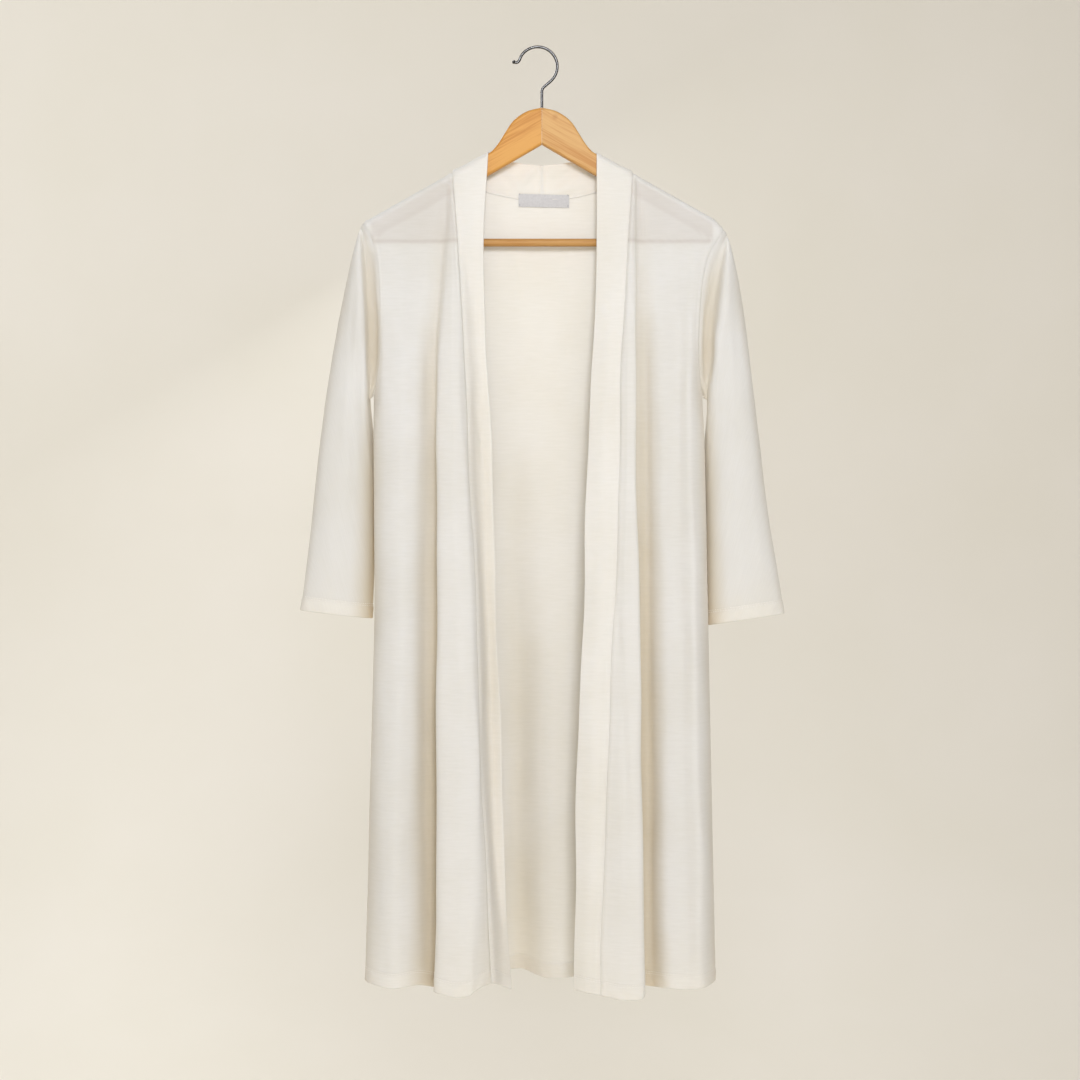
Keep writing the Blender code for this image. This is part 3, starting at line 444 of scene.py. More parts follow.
def row_shares():
    """Share of the way from the top edge to the hem of each row, close together at the bend and hem."""
    bend = BEND * (1 - np.cos(np.radians(np.linspace(0, TURN_DEGREES, 11))))
    eased = (1 - np.cos(np.linspace(0, math.pi, 45)[1:])) / 2
    armhole = bend[-1] + (ARMHOLE_LENGTH - bend[-1]) * eased
    skirt = np.linspace(ARMHOLE_LENGTH, SIDE_LENGTH - 26, 126)[1:]
    drops = np.concatenate([bend, armhole, skirt, [SIDE_LENGTH - a for a in (22, *HEM_ROWS)]])
    return drops / SIDE_LENGTH, len(bend) + len(armhole)


ROWS, ARMHOLE_ROWS = row_shares()
UNDERARM_SHARE = ROWS[ARMHOLE_ROWS - 1]


def side_point(side, share, front):
    """Points of the armhole or side seam. Both sides reach the underarm in the same row."""
    share = np.asarray(share, float)
    table = SIDE_POINTS[side]
    top = shoulder_z(table[0].x)
    knots = [top - p.drop for p in table]
    under = next(top - p.drop for p in table if p.name == "underarm")
    above = top + (under - top) * share / UNDERARM_SHARE
    below = under + (knots[-1] - under) * (share - UNDERARM_SHARE) / (1 - UNDERARM_SHARE)
    z = np.where(share <= UNDERARM_SHARE, above, below)
    depth = smooth(z, knots, [p.y_front if front else p.y_back for p in table])
    return points(smooth(z, knots, [p.x for p in table]), depth * over_the_arm(top - z), z)


def wander(z, top, phase):
    """A small uneven sideways drift of a fold line on its way down, none at the shoulder."""
    down = (top - z) / 100.0
    drift = np.sin(down * 1.9 + phase) + 0.6 * np.sin(down * 3.7 + 2.3 * phase)
    return 0.9 * drift * step_up((top - z - 60) / 200.0)


def front_fold_point(fold, share, phase=0.0):
    """Where a fold line of the front lies in each row."""
    top = arm_top(fold.x_top) + LIFT
    z = top + (fold.hem_z - top) * share
    knots = (top, *LEVELS, fold.hem_z)
    x = smooth(z, knots, (fold.x_top, fold.x_yoke, fold.x_chest, fold.x_waist, fold.x_knee, fold.x_hem))
    y = smooth(z, knots, (-BEND, fold.y_yoke, fold.y_chest, fold.y_waist, fold.y_knee, fold.y_hem))
    x = x + wander(z, top, phase)
    return points(x, y * over_the_arm(top - z), z)


def neck_point(side):
    """Where the neck seam crosses the shoulder."""
    x = FRONT_FOLDS[side][2].x_top
    return np.array([x, 0.0, shoulder_z(x)])


def shoulder_edge(side):
    """Where the band's free edge crosses the shoulder."""
    x = FRONT_FOLDS[side][0].x_top
    return np.array([x, 0.0, arm_top(x) + LIFT])


def around_neck(side, place, edge):
    """Points of the neck seam, or of the band's free edge, from the shoulder to the centre back."""
    place = np.asarray(place, float)
    start = shoulder_edge(side) if edge else neck_point(side)
    knots = [-p.place for p in NECK_POINTS]
    x = start[0] * smooth(-place, knots, [p.edge_x if edge else p.x for p in NECK_POINTS])
    y = smooth(-place, knots, [p.edge_y if edge else p.y for p in NECK_POINTS])
    behind = over_wood(start[0] * (NECK_POINTS[1].edge_x if edge else NECK_POINTS[1].x), 1.0)
    heights = [start[2], behind[2]] + [p.edge_z if edge else p.seam_z for p in NECK_POINTS[2:]]
    z = smooth(-place, knots, heights)
    turning = over_wood(x, np.minimum((place - 1.0) / (BEHIND - 1.0), 1.0))
    return np.where((place > BEHIND)[..., None], points(x, y, z), turning)


def over_wood(x, along):
    """Points of the cloth's bend behind the arm's top, part of the way round it."""
    angle = TURN * along
    return points(x, BEND * np.sin(angle), arm_top(x) + LIFT - BEND * (1 - np.cos(angle)))


def back_top_point(side, place):
    """A point of the back's top edge: the shoulder seam up to place 1, then the neck seam."""
    if place > 1.0:
        return around_neck(side, place, edge=False)
    outer = side_point(side, 0.0, front=False)
    x = outer[0] + (neck_point(side)[0] - outer[0]) * place
    return np.array([x, 0.0, shoulder_z(x)])


def back_fold_point(side, fold, share, phase=0.0):
    """Where a fold line of the back lies in each row."""
    top = back_top_point(side, fold.place)
    z = top[2] + (fold.hem_z - top[2]) * share
    on_shoulder = fold.place <= 1.0
    knots = (top[2], *LEVELS, fold.hem_z)
    x = smooth(z, knots, (top[0], fold.x_yoke, fold.x_chest, fold.x_waist, fold.x_knee, fold.x_hem))
    start_y = BEND if on_shoulder else top[1]
    y = smooth(z, knots, (start_y, fold.y_yoke, fold.y_chest, fold.y_waist, fold.y_knee, fold.y_hem))
    x = x + 2.0 * wander(z, top[2], phase)
    return points(x, y * over_the_arm(top[2] - z) if on_shoulder else y, z)


def side_ghost(side, share, front):
    """The next points past the side seam, so that front and back meet in one round below the underarm."""
    at_seam = side_point(side, share, front)
    near_back = BACK_FOLDS[side][0] if side == "left" else BACK_FOLDS[side][-1]
    beyond = back_fold_point(side, near_back, share)
    inside = front_fold_point(FRONT_FOLDS[side][-1], share)
    if not front:
        beyond, inside = inside, beyond
    turned = step_up((share - UNDERARM_SHARE) / 0.06)[:, None]
    return (2 * at_seam - inside) * (1 - turned) + beyond * turned


def close_ends(count, cells):
    """Positions along the fold lines, with a few more close to both ends."""
    inner = np.arange(1, count * cells) / cells
    close = np.array([0.0, 0.04, 0.1])
    return np.unique(np.round(np.concatenate([close, inner, count - close]), 5))


def eased_to_top(grid, top):
    """The grid with its first row moved onto the top edge, and the rows below it less and less."""
    drop = grid[0, :, 2] - grid[:, :, 2]
    return grid + (top - grid[0])[None] * (1 - step_up(drop / 60.0))[..., None]


def front_grid(side):
    """Rows of points of a front panel, from the neck band's seam to the side."""
    folds = FRONT_FOLDS[side]
    line = [front_fold_point(fold, ROWS, phase_of(side, i)) for i, fold in enumerate(folds)]
    roll = line[1]
    line = np.stack(line[2:] + [side_point(side, ROWS, front=True)], axis=1)
    grid = spline(line, close_ends(line.shape[1] - 1, 12), before=roll, after=side_ghost(side, ROWS, True))
    top = grid[0].copy()
    top[:, 1] = 0.0
    top[:, 2] = shoulder_z(top[:, 0])
    return eased_to_top(grid, top)


def phase_of(side, index):
    """The phase of a fold line's drift, its own on each side."""
    return 1.7 * index + (0.8 if side == "left" else 3.1)


def neck_places():
    """Places of the band's rows behind the neck, from the shoulder to the centre back."""
    bend = np.linspace(1.0, BEHIND, NECK_CELLS // 2 + 1)
    return np.concatenate([bend, np.linspace(BEHIND, CENTRE_BACK, NECK_CELLS + 1)[1:]])


def back_grid():
    """Rows of points of the back, from the left side to the right."""
    shoulder = np.concatenate([[0.0, 0.015, 0.04], np.linspace(0.08, 1.0, 24)[:-1]])
    places = np.concatenate([shoulder, neck_places()])
    far_side = 2 * CENTRE_BACK
    wanted = np.concatenate([places, far_side - places[-2::-1]])
    line = [side_point("left", ROWS, front=False)]
    stations = [0.0]
    number = 0
    for side in ("left", "centre", "right"):
        for fold in BACK_FOLDS[side]:
            half = "left" if side == "centre" else side
            number += 1
            line.append(back_fold_point(half, fold, ROWS, 1.3 * number))
            stations.append(fold.place if half == "left" else far_side - fold.place)
    line = np.stack(line + [side_point("right", ROWS, front=False)], axis=1)
    stations.append(far_side)
    positions = np.interp(wanted, stations, np.arange(len(stations)))
    grid = spline(line, positions, side_ghost("left", ROWS, False), side_ghost("right", ROWS, False))
    top = [
        back_top_point("left" if w <= CENTRE_BACK else "right", min(w, far_side - w)) for w in wanted
    ]
    return eased_to_top(grid, np.stack(top))


def band_grid(side):
    """Rows of points of half the neck band, from the hem up, over the arm and round to the centre back."""
    folds = FRONT_FOLDS[side]
    shares = ROWS[::-1]
    edge, roll, seam, inside = (
        front_fold_point(folds[i], shares, phase_of(side, i)) for i in range(4)
    )
    across = np.array([0, 0.03, 0.08, 0.2, 0.4, 0.6, 0.8, 1, 1.2, 1.4, 1.6, 1.8, 1.92, 1.97, 2])
    front = spline(np.stack([edge, roll, seam], axis=1), across, after=inside)
    places = neck_places()[1:]
    edge = around_neck(side, places, edge=True)
    seam = around_neck(side, places, edge=False)
    crown = 0.8 * np.sin(across / 2 * math.pi)[None, :, None] * np.array([0, 1, 0])
    back = edge[:, None] + (seam - edge)[:, None] * (across / 2)[None, :, None]
    back = back + crown * step_up((places - BEHIND) / 0.3)[:, None, None]
    return np.concatenate([front, back])


def ring_points(ring, share, front):
    """Points of a sleeve section, from its outer fold at share 0 to its inner fold at share 1."""
    round_it = 2 * np.sqrt(np.clip(share * (1 - share), 0.0, None))
    y = np.where(front, -ring.front, ring.back) * round_it
    x = ring.outer_x + (ring.inner_x - ring.outer_x) * share + ring.bow * round_it
    lean = ring.skew * share * (y / max(ring.front, ring.back))
    z = ring.outer_z + (ring.inner_z - ring.outer_z) * share
    return points(x + lean, y + ring.inner_y * share**2, z)


def sleeve_grid(side):
    """Rows of points from the armhole to the cuff; each runs down the front and up the back."""
    rings = SLEEVE_RINGS[side]
    armhole = ROWS[:ARMHOLE_ROWS]
    shares = np.concatenate([armhole, armhole[-2:0:-1]])
    front = np.arange(len(shares)) < len(armhole)
    seam = np.where(front[:, None], side_point(side, shares, True), side_point(side, shares, False))
    share = shares / UNDERARM_SHARE
    line = [seam] + [ring_points(ring, share, front) for ring in rings]
    line = np.stack(line, axis=1)
    positions = [0, 0.04, 0.1, 0.2, 0.4, 0.6, 0.8]
    for i, cells in ((1, 10), (2, 14), (3, 20), (4, 20), (5, 8)):
        positions += [i + n / cells for n in range(cells)]
    for to_cuff in HEM_ROWS:
        past = CUFF_LENGTH - to_cuff
        positions.append(7 - to_cuff / CUFF_LENGTH if past > 0 else 6 + past / 80)
    return spline(line, sorted(positions)).transpose(1, 0, 2)


def grid_normals(grid, closed):
    """The normal at each point of a grid, across its rows and columns."""
    if closed:
        over = np.roll(grid, -1, axis=1) - np.roll(grid, 1, axis=1)
    else:
        over = np.gradient(grid, axis=1)
    normal = np.cross(over, np.gradient(grid, axis=0))
    return normal / np.maximum(np.linalg.norm(normal, axis=2, keepdims=True), 1e-9)


def run_lengths(grid, axis):
    """Distance along the cloth from the first point of each row or column."""
    steps = np.linalg.norm(np.diff(grid, axis=axis), axis=2)
    pad = [(0, 0), (0, 0)]
    pad[axis] = (1, 0)
    return np.pad(np.cumsum(steps, axis=axis), pad)


def crease_depth(name, grid):
    """How far each point sinks into the creases of its piece."""
    flat = grid[..., [0, 2]]
    depth = np.zeros(grid.shape[:2])
    for crease in CREASES:
        if crease.piece != name:
            continue
        start = np.array([crease.x1, crease.z1], float)
        run = np.array([crease.x2, crease.z2]) - start
        along = np.clip(((flat - start) @ run) / (run @ run), 0, 1)
        away = np.linalg.norm(flat - start - along[..., None] * run, axis=2)
        fade = 0.35 + 0.65 * np.sin(np.pi * along)
        depth += crease.depth * fade * np.exp(-((away / crease.width) ** 2))
    return depth


def unevenness(across, down, phase):
    """Slow small waves of cloth that has been worn and hung, in millimetres."""
    a, d = across / 100.0, down / 100.0
    waves = np.sin(a * 9.1 + 1.3 * np.sin(d * 1.1 + phase) + phase) * np.sin(d * 2.3 + 2 * phase)
    waves += 0.7 * np.sin(a * 15.7 + 0.9 * np.sin(d * 2.9) + 3 * phase) * np.sin(d * 4.1 + phase)
    return 0.28 * waves


class Cloth:
    """A sheet of jersey: its middle as a grid, its normals and how far it lies from each edge."""

    def __init__(self, name, grid, outward, phase, closed=False):
        self.name, self.closed = name, closed
        self.kind = name.split("_")[0]
        self.grid_shape = grid.shape[:2]
        self.across = run_lengths(grid, 1)
        self.down = run_lengths(grid, 0)
        normal = grid_normals(grid, closed) * outward
        level = (np.abs(grid[0, :, 1]) < 1e-6) & (self.kind in ("back", "front"))
        normal[0, level, 1] = 0.0
        normal[0] /= np.linalg.norm(normal[0], axis=1, keepdims=True)
        to_top = self.down
        to_bottom = self.down[-1:] - self.down
        to_start = self.across
        to_end = self.across[:, -1:] - self.across
        self.to_hem = to_top if self.kind == "band" else to_bottom
        seams = self.seam_distances(to_top, to_bottom, to_start, to_end)
        seam = np.minimum.reduce(seams)
        quiet = step_up(seam / 14.0)
        relief = unevenness(self.across, self.down, phase) * quiet - crease_depth(name, grid)
        sewn = np.minimum.reduce(self.open_seams(seams))
        relief -= SEAM_ROLL * np.exp(-((sewn / SEAM_ROLL_WIDTH) ** 2))
        relief += SEAM_RIDGE * np.exp(-(((sewn - 4.5) / 2.2) ** 2)) * step_up(sewn / 3.0)
        relief += self.pucker(sewn) + self.hem_waves(phase)
        relief += self.shoulder_knot(grid)
        self.grid = grid + normal * relief[..., None]
        self.normal = grid_normals(self.grid, closed) * outward
        self.normal[0, level, 1] = 0.0
        self.normal[0] /= np.linalg.norm(self.normal[0], axis=1, keepdims=True)
        self.draw_back()

    def seam_distances(self, to_top, to_bottom, to_start, to_end):
        """Distances from the edges that are sewn to another piece."""
        if self.kind == "sleeve":
            return [to_top]
        if self.kind == "band":
            return [to_bottom, to_end]
        return [to_top, to_start, to_end]

    def open_seams(self, seams):
        """The seams that don't lie on the wood. The shoulder seam does, so it can't sink."""
        return seams if self.kind in ("sleeve", "band") else seams[1:]

    def hem_waves(self, phase):
        """The slanting drag of a turned hem between its stitches and its edge."""
        if self.kind == "band":
            return np.zeros(self.grid_shape)
        lean = self.across + 0.8 * self.to_hem
        waves = np.sin(lean / 2.9 + 1.7 * np.sin(lean / 23.0 + phase))
        return 0.24 * waves * step_up((STITCH_ROWS[0] - self.to_hem) / 4.0)

    def shoulder_knot(self, grid):
        """The thick end of the neck seam on the shoulder: the band stands up, the cloth beside it dips."""
        relief = np.zeros(self.grid_shape)
        for side in ("left", "right"):
            knot = neck_point(side)
            away = np.linalg.norm(grid - knot, axis=2)
            if self.kind == "band":
                relief += 1.5 * np.exp(-((away / 9.0) ** 2))
            elif self.kind in ("front", "back"):
                beside = knot + np.array([math.copysign(4.5, knot[0]), 0.0, -11.0])
                flat = np.linalg.norm((grid - beside)[..., [0, 2]], axis=2)
                relief -= 1.5 * np.exp(-((flat / 4.5) ** 2)) * step_up(-grid[..., 1] - 6.0)
        return relief

    def pucker(self, seam):
        """Small gathers where the seam holds the cloth shorter than it is."""
        run = self.across if self.kind == "sleeve" else self.down
        waves = np.sin(run / 2.6 + 1.4 * np.sin(run / 17.0)) * (0.6 + 0.4 * np.sin(run / 31.0))
        return 0.14 * waves * np.exp(-((seam / 5.0 - 0.7) ** 2))

    def draw_back(self):
        """Pulls the edges in by half a seam gap."""
        grid = self.grid.copy()
        last = len(grid) - 1
        for here, inside in ((0, 1), (last, last - 1)):
            way = grid[inside] - grid[here]
            self.grid[here] += way / np.linalg.norm(way, axis=1, keepdims=True) * SEAM_GAP / 2
        if self.closed:
            return
        last = grid.shape[1] - 1
        for here, inside in ((0, 1), (last, last - 1)):
            way = grid[:, inside] - grid[:, here]
            self.grid[:, here] += way / np.linalg.norm(way, axis=1, keepdims=True) * SEAM_GAP / 2

    def halves(self):
        """How far the outer and inner skins stand from the middle: a turned hem has a second ply inside."""
        if self.kind == "band":
            outer, inner = (np.full(self.grid_shape, half) for half in (BAND_OUTER, BAND_INNER))
        else:
            outer, inner = (np.full(self.grid_shape, PLY) for _ in range(2))
            inner += HEM_PLY * step_up((HEM_DEPTH + 0.8 - self.to_hem) / 0.8)
        for row in STITCH_ROWS:
            sunk = np.exp(-(((self.to_hem - row) / 0.8) ** 2))
            outer -= 0.3 * sunk
            inner -= 0.15 * sunk
        bulge = step_up((HEM_DEPTH - self.to_hem) / 3.0) * step_up(self.to_hem / 1.6)
        return outer + 0.3 * bulge, inner

    def painted_shade_depths(self, skins, fronts, backs):
        """How much painted shade each point of the outer and inner skin gets, by how deep it lies between
        the folds beside it.
        """
        forward = step_up(0.5 - self.normal[..., 1])
        outer = forward * depth_below(fronts, skins[0], -1)
        outer += (1 - forward) * depth_below(backs, skins[0], 1)
        inner = np.full(self.grid_shape, INNER_PAINTED_SHADE[self.kind])
        if self.kind == "back":
            own = depth_map([self], -1)
            folds = depth_below(own, skins[1], -1, BACK_PAINTED_SHADE_FROM, BACK_PAINTED_SHADE_FULL)
            inner += BACK_FOLD_PAINTED_SHADE * folds
        return outer * OUTER_PAINTED_SHADE[self.kind], inner

    def build(self, material, fronts, backs):
        """The closed shell with rounded rims, a UV map in metres along the cloth, and its marks of painted
        shade.
        """
        rows, columns = self.grid_shape
        area = rows * columns
        outer, inner = self.halves()
        skins = [self.grid + self.normal * outer[..., None], self.grid - self.normal * inner[..., None]]
        vertices = [p for skin in skins for p in skin.reshape(-1, 3)]
        down = -self.down if self.kind == "sleeve" else self.grid[..., 2]
        uv = np.stack([self.across, down], axis=-1).reshape(-1, 2) * MM
        uvs = [uv, uv]
        quads = grid_quads(rows, columns, self.closed)
        flip = self.outer_turn(skins)
        faces = [quads[:, ::-1] if flip else quads, (quads if flip else quads[:, ::-1]) + area]
        rims = [(open_rim(rows, columns), 1)]
        if self.closed:
            rims = [(np.arange(columns), 1), (np.arange(columns) + (rows - 1) * columns, -1)]
        for ring, turn in rims:
            middle = (skins[0].reshape(-1, 3)[ring] + skins[1].reshape(-1, 3)[ring]) / 2
            half = (outer.reshape(-1)[ring] + inner.reshape(-1)[ring]) / 2
            rim = np.arange(len(ring)) + len(vertices)
            vertices += list(middle + self.rim_direction(ring) * (half * 0.75)[:, None])
            uvs.append(uv[ring])
            after, rim_after = np.roll(ring, -1), np.roll(rim, -1)
            upper = np.stack([ring, after, rim_after, rim], axis=-1)
            lower = np.stack([rim, rim_after, after + area, ring + area], axis=-1)
            back = (turn < 0) != flip
            faces += [upper[:, ::-1] if back else upper, lower[:, ::-1] if back else lower]
        vertices = np.array(vertices)
        mesh = bpy.data.meshes.new(self.name)
        mesh.from_pydata((vertices * MM).tolist(), [], np.concatenate(faces).tolist())
        layer = mesh.uv_layers.new(name="cloth")
        corner = np.zeros(len(mesh.loops), int)
        mesh.loops.foreach_get("vertex_index", corner)
        layer.data.foreach_set("uv", np.concatenate(uvs)[corner].reshape(-1).astype(np.float32))
        # Marks of painted shade: the hanger seen through the front cloth, and the recesses between the
        # folds.
        see_through_shade = painted_hanger_shade(vertices)
        see_through_shade[area if self.kind in ("front", "back") else 0:] = 0.0
        deep = [h.reshape(-1) for h in self.painted_shade_depths(skins, fronts, backs)]
        deep = np.concatenate(deep + [deep[0][ring] for ring, _ in rims])
        for mark, values in (("behind", see_through_shade), ("hollow", deep)):
            layer = mesh.attributes.new(mark, "FLOAT", "POINT")
            layer.data.foreach_set("value", values.astype(np.float32))
        mesh.materials.append(material)
        mesh.shade_smooth()
        mesh.set_sharp_from_angle(angle=math.radians(65))
        return add_object(f"{self.name}_cloth", mesh)

    def rim_direction(self, ring):
        """The way out of the cloth's edge at each point of it."""
        rows, columns = self.grid_shape
        r, c = ring // columns, ring % columns
        inside_r = np.clip(r, 1, rows - 2)
        inside_c = c if self.closed else np.clip(c, 1, columns - 2)
        way = self.grid[r, c] - self.grid[inside_r, inside_c]
        return way / np.maximum(np.linalg.norm(way, axis=1, keepdims=True), 1e-9)

    def outer_turn(self, skins):
        """True if the grid's own face order points into the cloth."""
        skin = skins[0]
        r, c = skin.shape[0] // 2, skin.shape[1] // 4
        edge_down = skin[r + 1, c] - skin[r, c]
        edge_over = skin[r, c + 1] - skin[r, c]
        return float(np.dot(np.cross(edge_down, edge_over), self.normal[r, c])) < 0


def grid_quads(rows, columns, closed=False):
    """Corners of each face of a grid of points. The last column of a closed grid meets its first."""
    first = np.arange(rows - 1)[:, None] * columns + np.arange(columns if closed else columns - 1)
    after = first - first % columns + (first + 1) % columns
    return np.stack([first, first + columns, after + columns, after], axis=-1).reshape(-1, 4)


def open_rim(rows, columns):
    """The points round the edge of an open grid."""
    return np.concatenate([
        np.arange(columns - 1),
        np.arange(rows - 1) * columns + columns - 1,
        (rows - 1) * columns + np.arange(columns - 1, 0, -1),
        np.arange(rows - 1, 0, -1) * columns,
    ])


def add_object(name, data):
    """An object in the scene for a mesh, a lamp or a camera."""
    made = bpy.data.objects.new(name, data)
    bpy.context.scene.collection.objects.link(made)
    return made


def depth_map(pieces, turn):
    """How far the outermost cloth stands out in each cell of the front or back view, spread sideways."""
    cells = np.full((CELL_ROWS, CELL_COLUMNS), NO_CLOTH)
    for cloth in pieces:
        row, column = cell_places(cloth.grid)
        np.maximum.at(cells, (row.astype(int), column.astype(int)), turn * cloth.grid[..., 1])
    spread = np.maximum.reduce([np.roll(cells, (i, j), (0, 1)) for i in (-1, 0, 1) for j in range(-3, 4)])
    return np.mean([np.roll(spread, (i, j), (0, 1)) for i in (-1, 0, 1) for j in range(-2, 3)], axis=0)


def cell_places(at):
    """Row and column of points on a depth map."""
    row = np.clip(-at[..., 2] / CELL, 0, CELL_ROWS - 1.1)
    return row, np.clip((at[..., 0] - CELLS_FROM_X) / CELL, 0, CELL_COLUMNS - 1.1)


def depth_below(cells, at, turn, first=PAINTED_SHADE_FROM, full=PAINTED_SHADE_FULL):
    """Share, 0 to 1, of how far points lie below the cloth that stands beside them."""
    row, column = cell_places(at)
    row, column = row - 0.5, column - 0.5
    r, c = np.floor(row).astype(int), np.floor(column).astype(int)
    v, u = row - r, column - c
    near = cells[r, c] * (1 - v) * (1 - u) + cells[r + 1, c] * v * (1 - u)
    near = near + cells[r, c + 1] * (1 - v) * u + cells[r + 1, c + 1] * v * u
    return np.clip((near - turn * at[..., 1] - first) / (full - first), 0, 1)


def painted_hanger_shade(at):
    """How much painted shade of the hanger, seen through the jersey, each point gets: full over wood, less
    under it.
    """
    x, z = np.abs(at[:, 0]), at[:, 2]
    top = arm_top(x)
    # The arm is some 26 mm deep, and the bar lies below it. Their edges blur over 4 to 14 mm.
    arm = step_up((top - 2 - z) / 7.0) * step_up((z - (top - 27.5)) / 4.0) * step_up((207 - x) / 5.0)
    below = step_up((top - 16 - z) / 12.0) * step_up((z - (BAR_Z - 9)) / 14.0) * step_up((206 - x) / 8.0)
    return np.clip(0.85 * arm + 0.6 * below, 0, 1)


def linear(code):
    """A linear colour from an sRGB hex value."""
    parts = [int(code[i : i + 2], 16) / 255 for i in (0, 2, 4)]
    return [c / 12.92 if c <= 0.04045 else ((c + 0.055) / 1.055) ** 2.4 for c in parts] + [1.0]


def set_values(node, **values):
    """Sets the inputs of a node, named with _ for each space."""
    for name, value in values.items():
        node.inputs[name.replace("_", " ")].default_value = value


def add_node(material, kind, settings=None, links=None, **values):
    """Adds a node with its settings, values and links: links name this node's input and a socket."""
    node = material.node_tree.nodes.new(kind)
    for name, value in (settings or {}).items():
        setattr(node, name, value)
    set_values(node, **values)
    for name, socket in (links or {}).items():
        material.node_tree.links.new(node.inputs[name], socket)
    return node


def new_material(name):
    """A node material with its shader."""
    made = bpy.data.materials.new(name)
    made.use_nodes = True
    return made, made.node_tree.nodes["Principled BSDF"]


def set_ramp(node, stops):
    """Gives a colour ramp its stops, each a place and a hex colour."""
    ramp = node.color_ramp
    while len(ramp.elements) > 1:
        ramp.elements.remove(ramp.elements[0])
    ramp.elements[0].position = stops[0][0]
    ramp.elements[0].color = linear(stops[0][1])
    for place, code in stops[1:]:
        ramp.elements.new(place).color = linear(code)


def jersey_material():
    """Viscose jersey, a fine matt single knit with a soft surface. Painted shade, warm and creamy, darkens
    it in the recesses between the folds, standing in for light that passes through it again and again;
    painted shade of the wood seen through the sheer cloth lies as a tone on the shoulders. Its rows are 0.7
    mm apart, too fine to show, so they are drawn 2.6 mm apart."""
    made, shader = new_material("viscose jersey")
    place = add_node(made, "ShaderNodeTexCoord")
    rows = add_node(
        made, "ShaderNodeMapping", links={"Vector": place.outputs["UV"]}, Scale=(45.0, 380.0, 1.0)
    )
    streaks = add_node(
        made, "ShaderNodeTexNoise", links={"Vector": rows.outputs[0]}, Scale=1.0, Detail=3.0, Roughness=0.6
    )
    fuzz_place = add_node(
        made, "ShaderNodeMapping", links={"Vector": place.outputs["UV"]}, Scale=(900.0, 1100.0, 1.0)
    )
    fuzz = add_node(
        made, "ShaderNodeTexNoise", links={"Vector": fuzz_place.outputs[0]}, Scale=1.0, Detail=2.0
    )
    patches = add_node(
        made, "ShaderNodeTexNoise", links={"Vector": place.outputs["Object"]}, Scale=9.0, Detail=2.0
    )
    tone = add_node(made, "ShaderNodeValToRGB", links={"Fac": streaks.outputs[0]})
    set_ramp(tone, ((0.3, "E4E1DA"), (0.7, "E8E5DF")))
    patch_tone = add_node(made, "ShaderNodeValToRGB", links={"Fac": patches.outputs[0]})
    set_ramp(patch_tone, ((0.3, "F9F8F5"), (0.7, "FFFFFF")))
    mixed = add_node(
        made, "ShaderNodeMix", {"data_type": "RGBA", "blend_type": "MULTIPLY"},
        links={6: tone.outputs[0], 7: patch_tone.outputs[0]},
    )
    mixed.inputs[0].default_value = 1.0

    # Painted shade of the hanger seen through the cloth: the wood's tone, faint, and darkest along the
    # edges of the bar.
    behind = add_node(made, "ShaderNodeAttribute", {"attribute_name": "behind"})
    axes = add_node(made, "ShaderNodeSeparateXYZ", links={"Vector": place.outputs["Object"]})
    bar = add_node(
        made, "ShaderNodeMapRange", links={"Value": axes.outputs["Z"]},
        From_Min=(BAR_Z - 4.5) * MM, From_Max=(BAR_Z + 4.5) * MM,
    )
    painted_bar_shade = add_node(made, "ShaderNodeValToRGB", links={"Fac": bar.outputs[0]})
    set_ramp(painted_bar_shade, ((0.0, "7C7C7C"), (0.5, "C8C8C8"), (1.0, "7C7C7C")))
    painted_bar_shade.color_ramp.interpolation = "EASE"
    see_through_shade = add_node(
        made, "ShaderNodeMath", {"operation": "MULTIPLY"},
        links={0: behind.outputs["Fac"], 1: painted_bar_shade.outputs[0]},
    )
    through = add_node(
        made, "ShaderNodeMix", {"data_type": "RGBA"}, links={0: see_through_shade.outputs[0], 6: mixed.outputs[2]}
    )
    # The tone of the painted shade: the wood as it looks through the jersey.
    through.inputs[7].default_value = linear("8C6A58")

    # Painted warm shade in the recesses between the folds: the deeper a point lies, the darker and creamier
    # its colour.
    hollow = add_node(made, "ShaderNodeAttribute", {"attribute_name": "hollow"})
    painted_shade_ramp = add_node(made, "ShaderNodeValToRGB", links={"Fac": hollow.outputs["Fac"]})
    set_ramp(painted_shade_ramp, ((0.0, "FFFFFF"), (0.66, "EAE1D1"), (1.0, "E0CEB2")))
    painted_shade_mix = add_node(
        made, "ShaderNodeMix", {"data_type": "RGBA", "blend_type": "MULTIPLY"},
        links={6: through.outputs[2], 7: painted_shade_ramp.outputs[0]},
    )
    painted_shade_mix.inputs[0].default_value = 1.0
    made.node_tree.links.new(shader.inputs["Base Color"], painted_shade_mix.outputs[2])

    height = add_node(
        made, "ShaderNodeMath", {"operation": "ADD"}, links={0: streaks.outputs[0], 1: fuzz.outputs[0]}
    )
    bump = add_node(
        made, "ShaderNodeBump", links={"Height": height.outputs[0]}, Strength=0.1, Distance=0.0003
    )
    made.node_tree.links.new(shader.inputs["Normal"], bump.outputs[0])
    set_values(
        shader, Roughness=0.88, Subsurface_Weight=0.4, Subsurface_Radius=(1.0, 0.93, 0.82),
        Subsurface_Scale=0.004, Sheen_Weight=0.25, Sheen_Roughness=0.5, Specular_IOR_Level=0.25,
    )
    return made


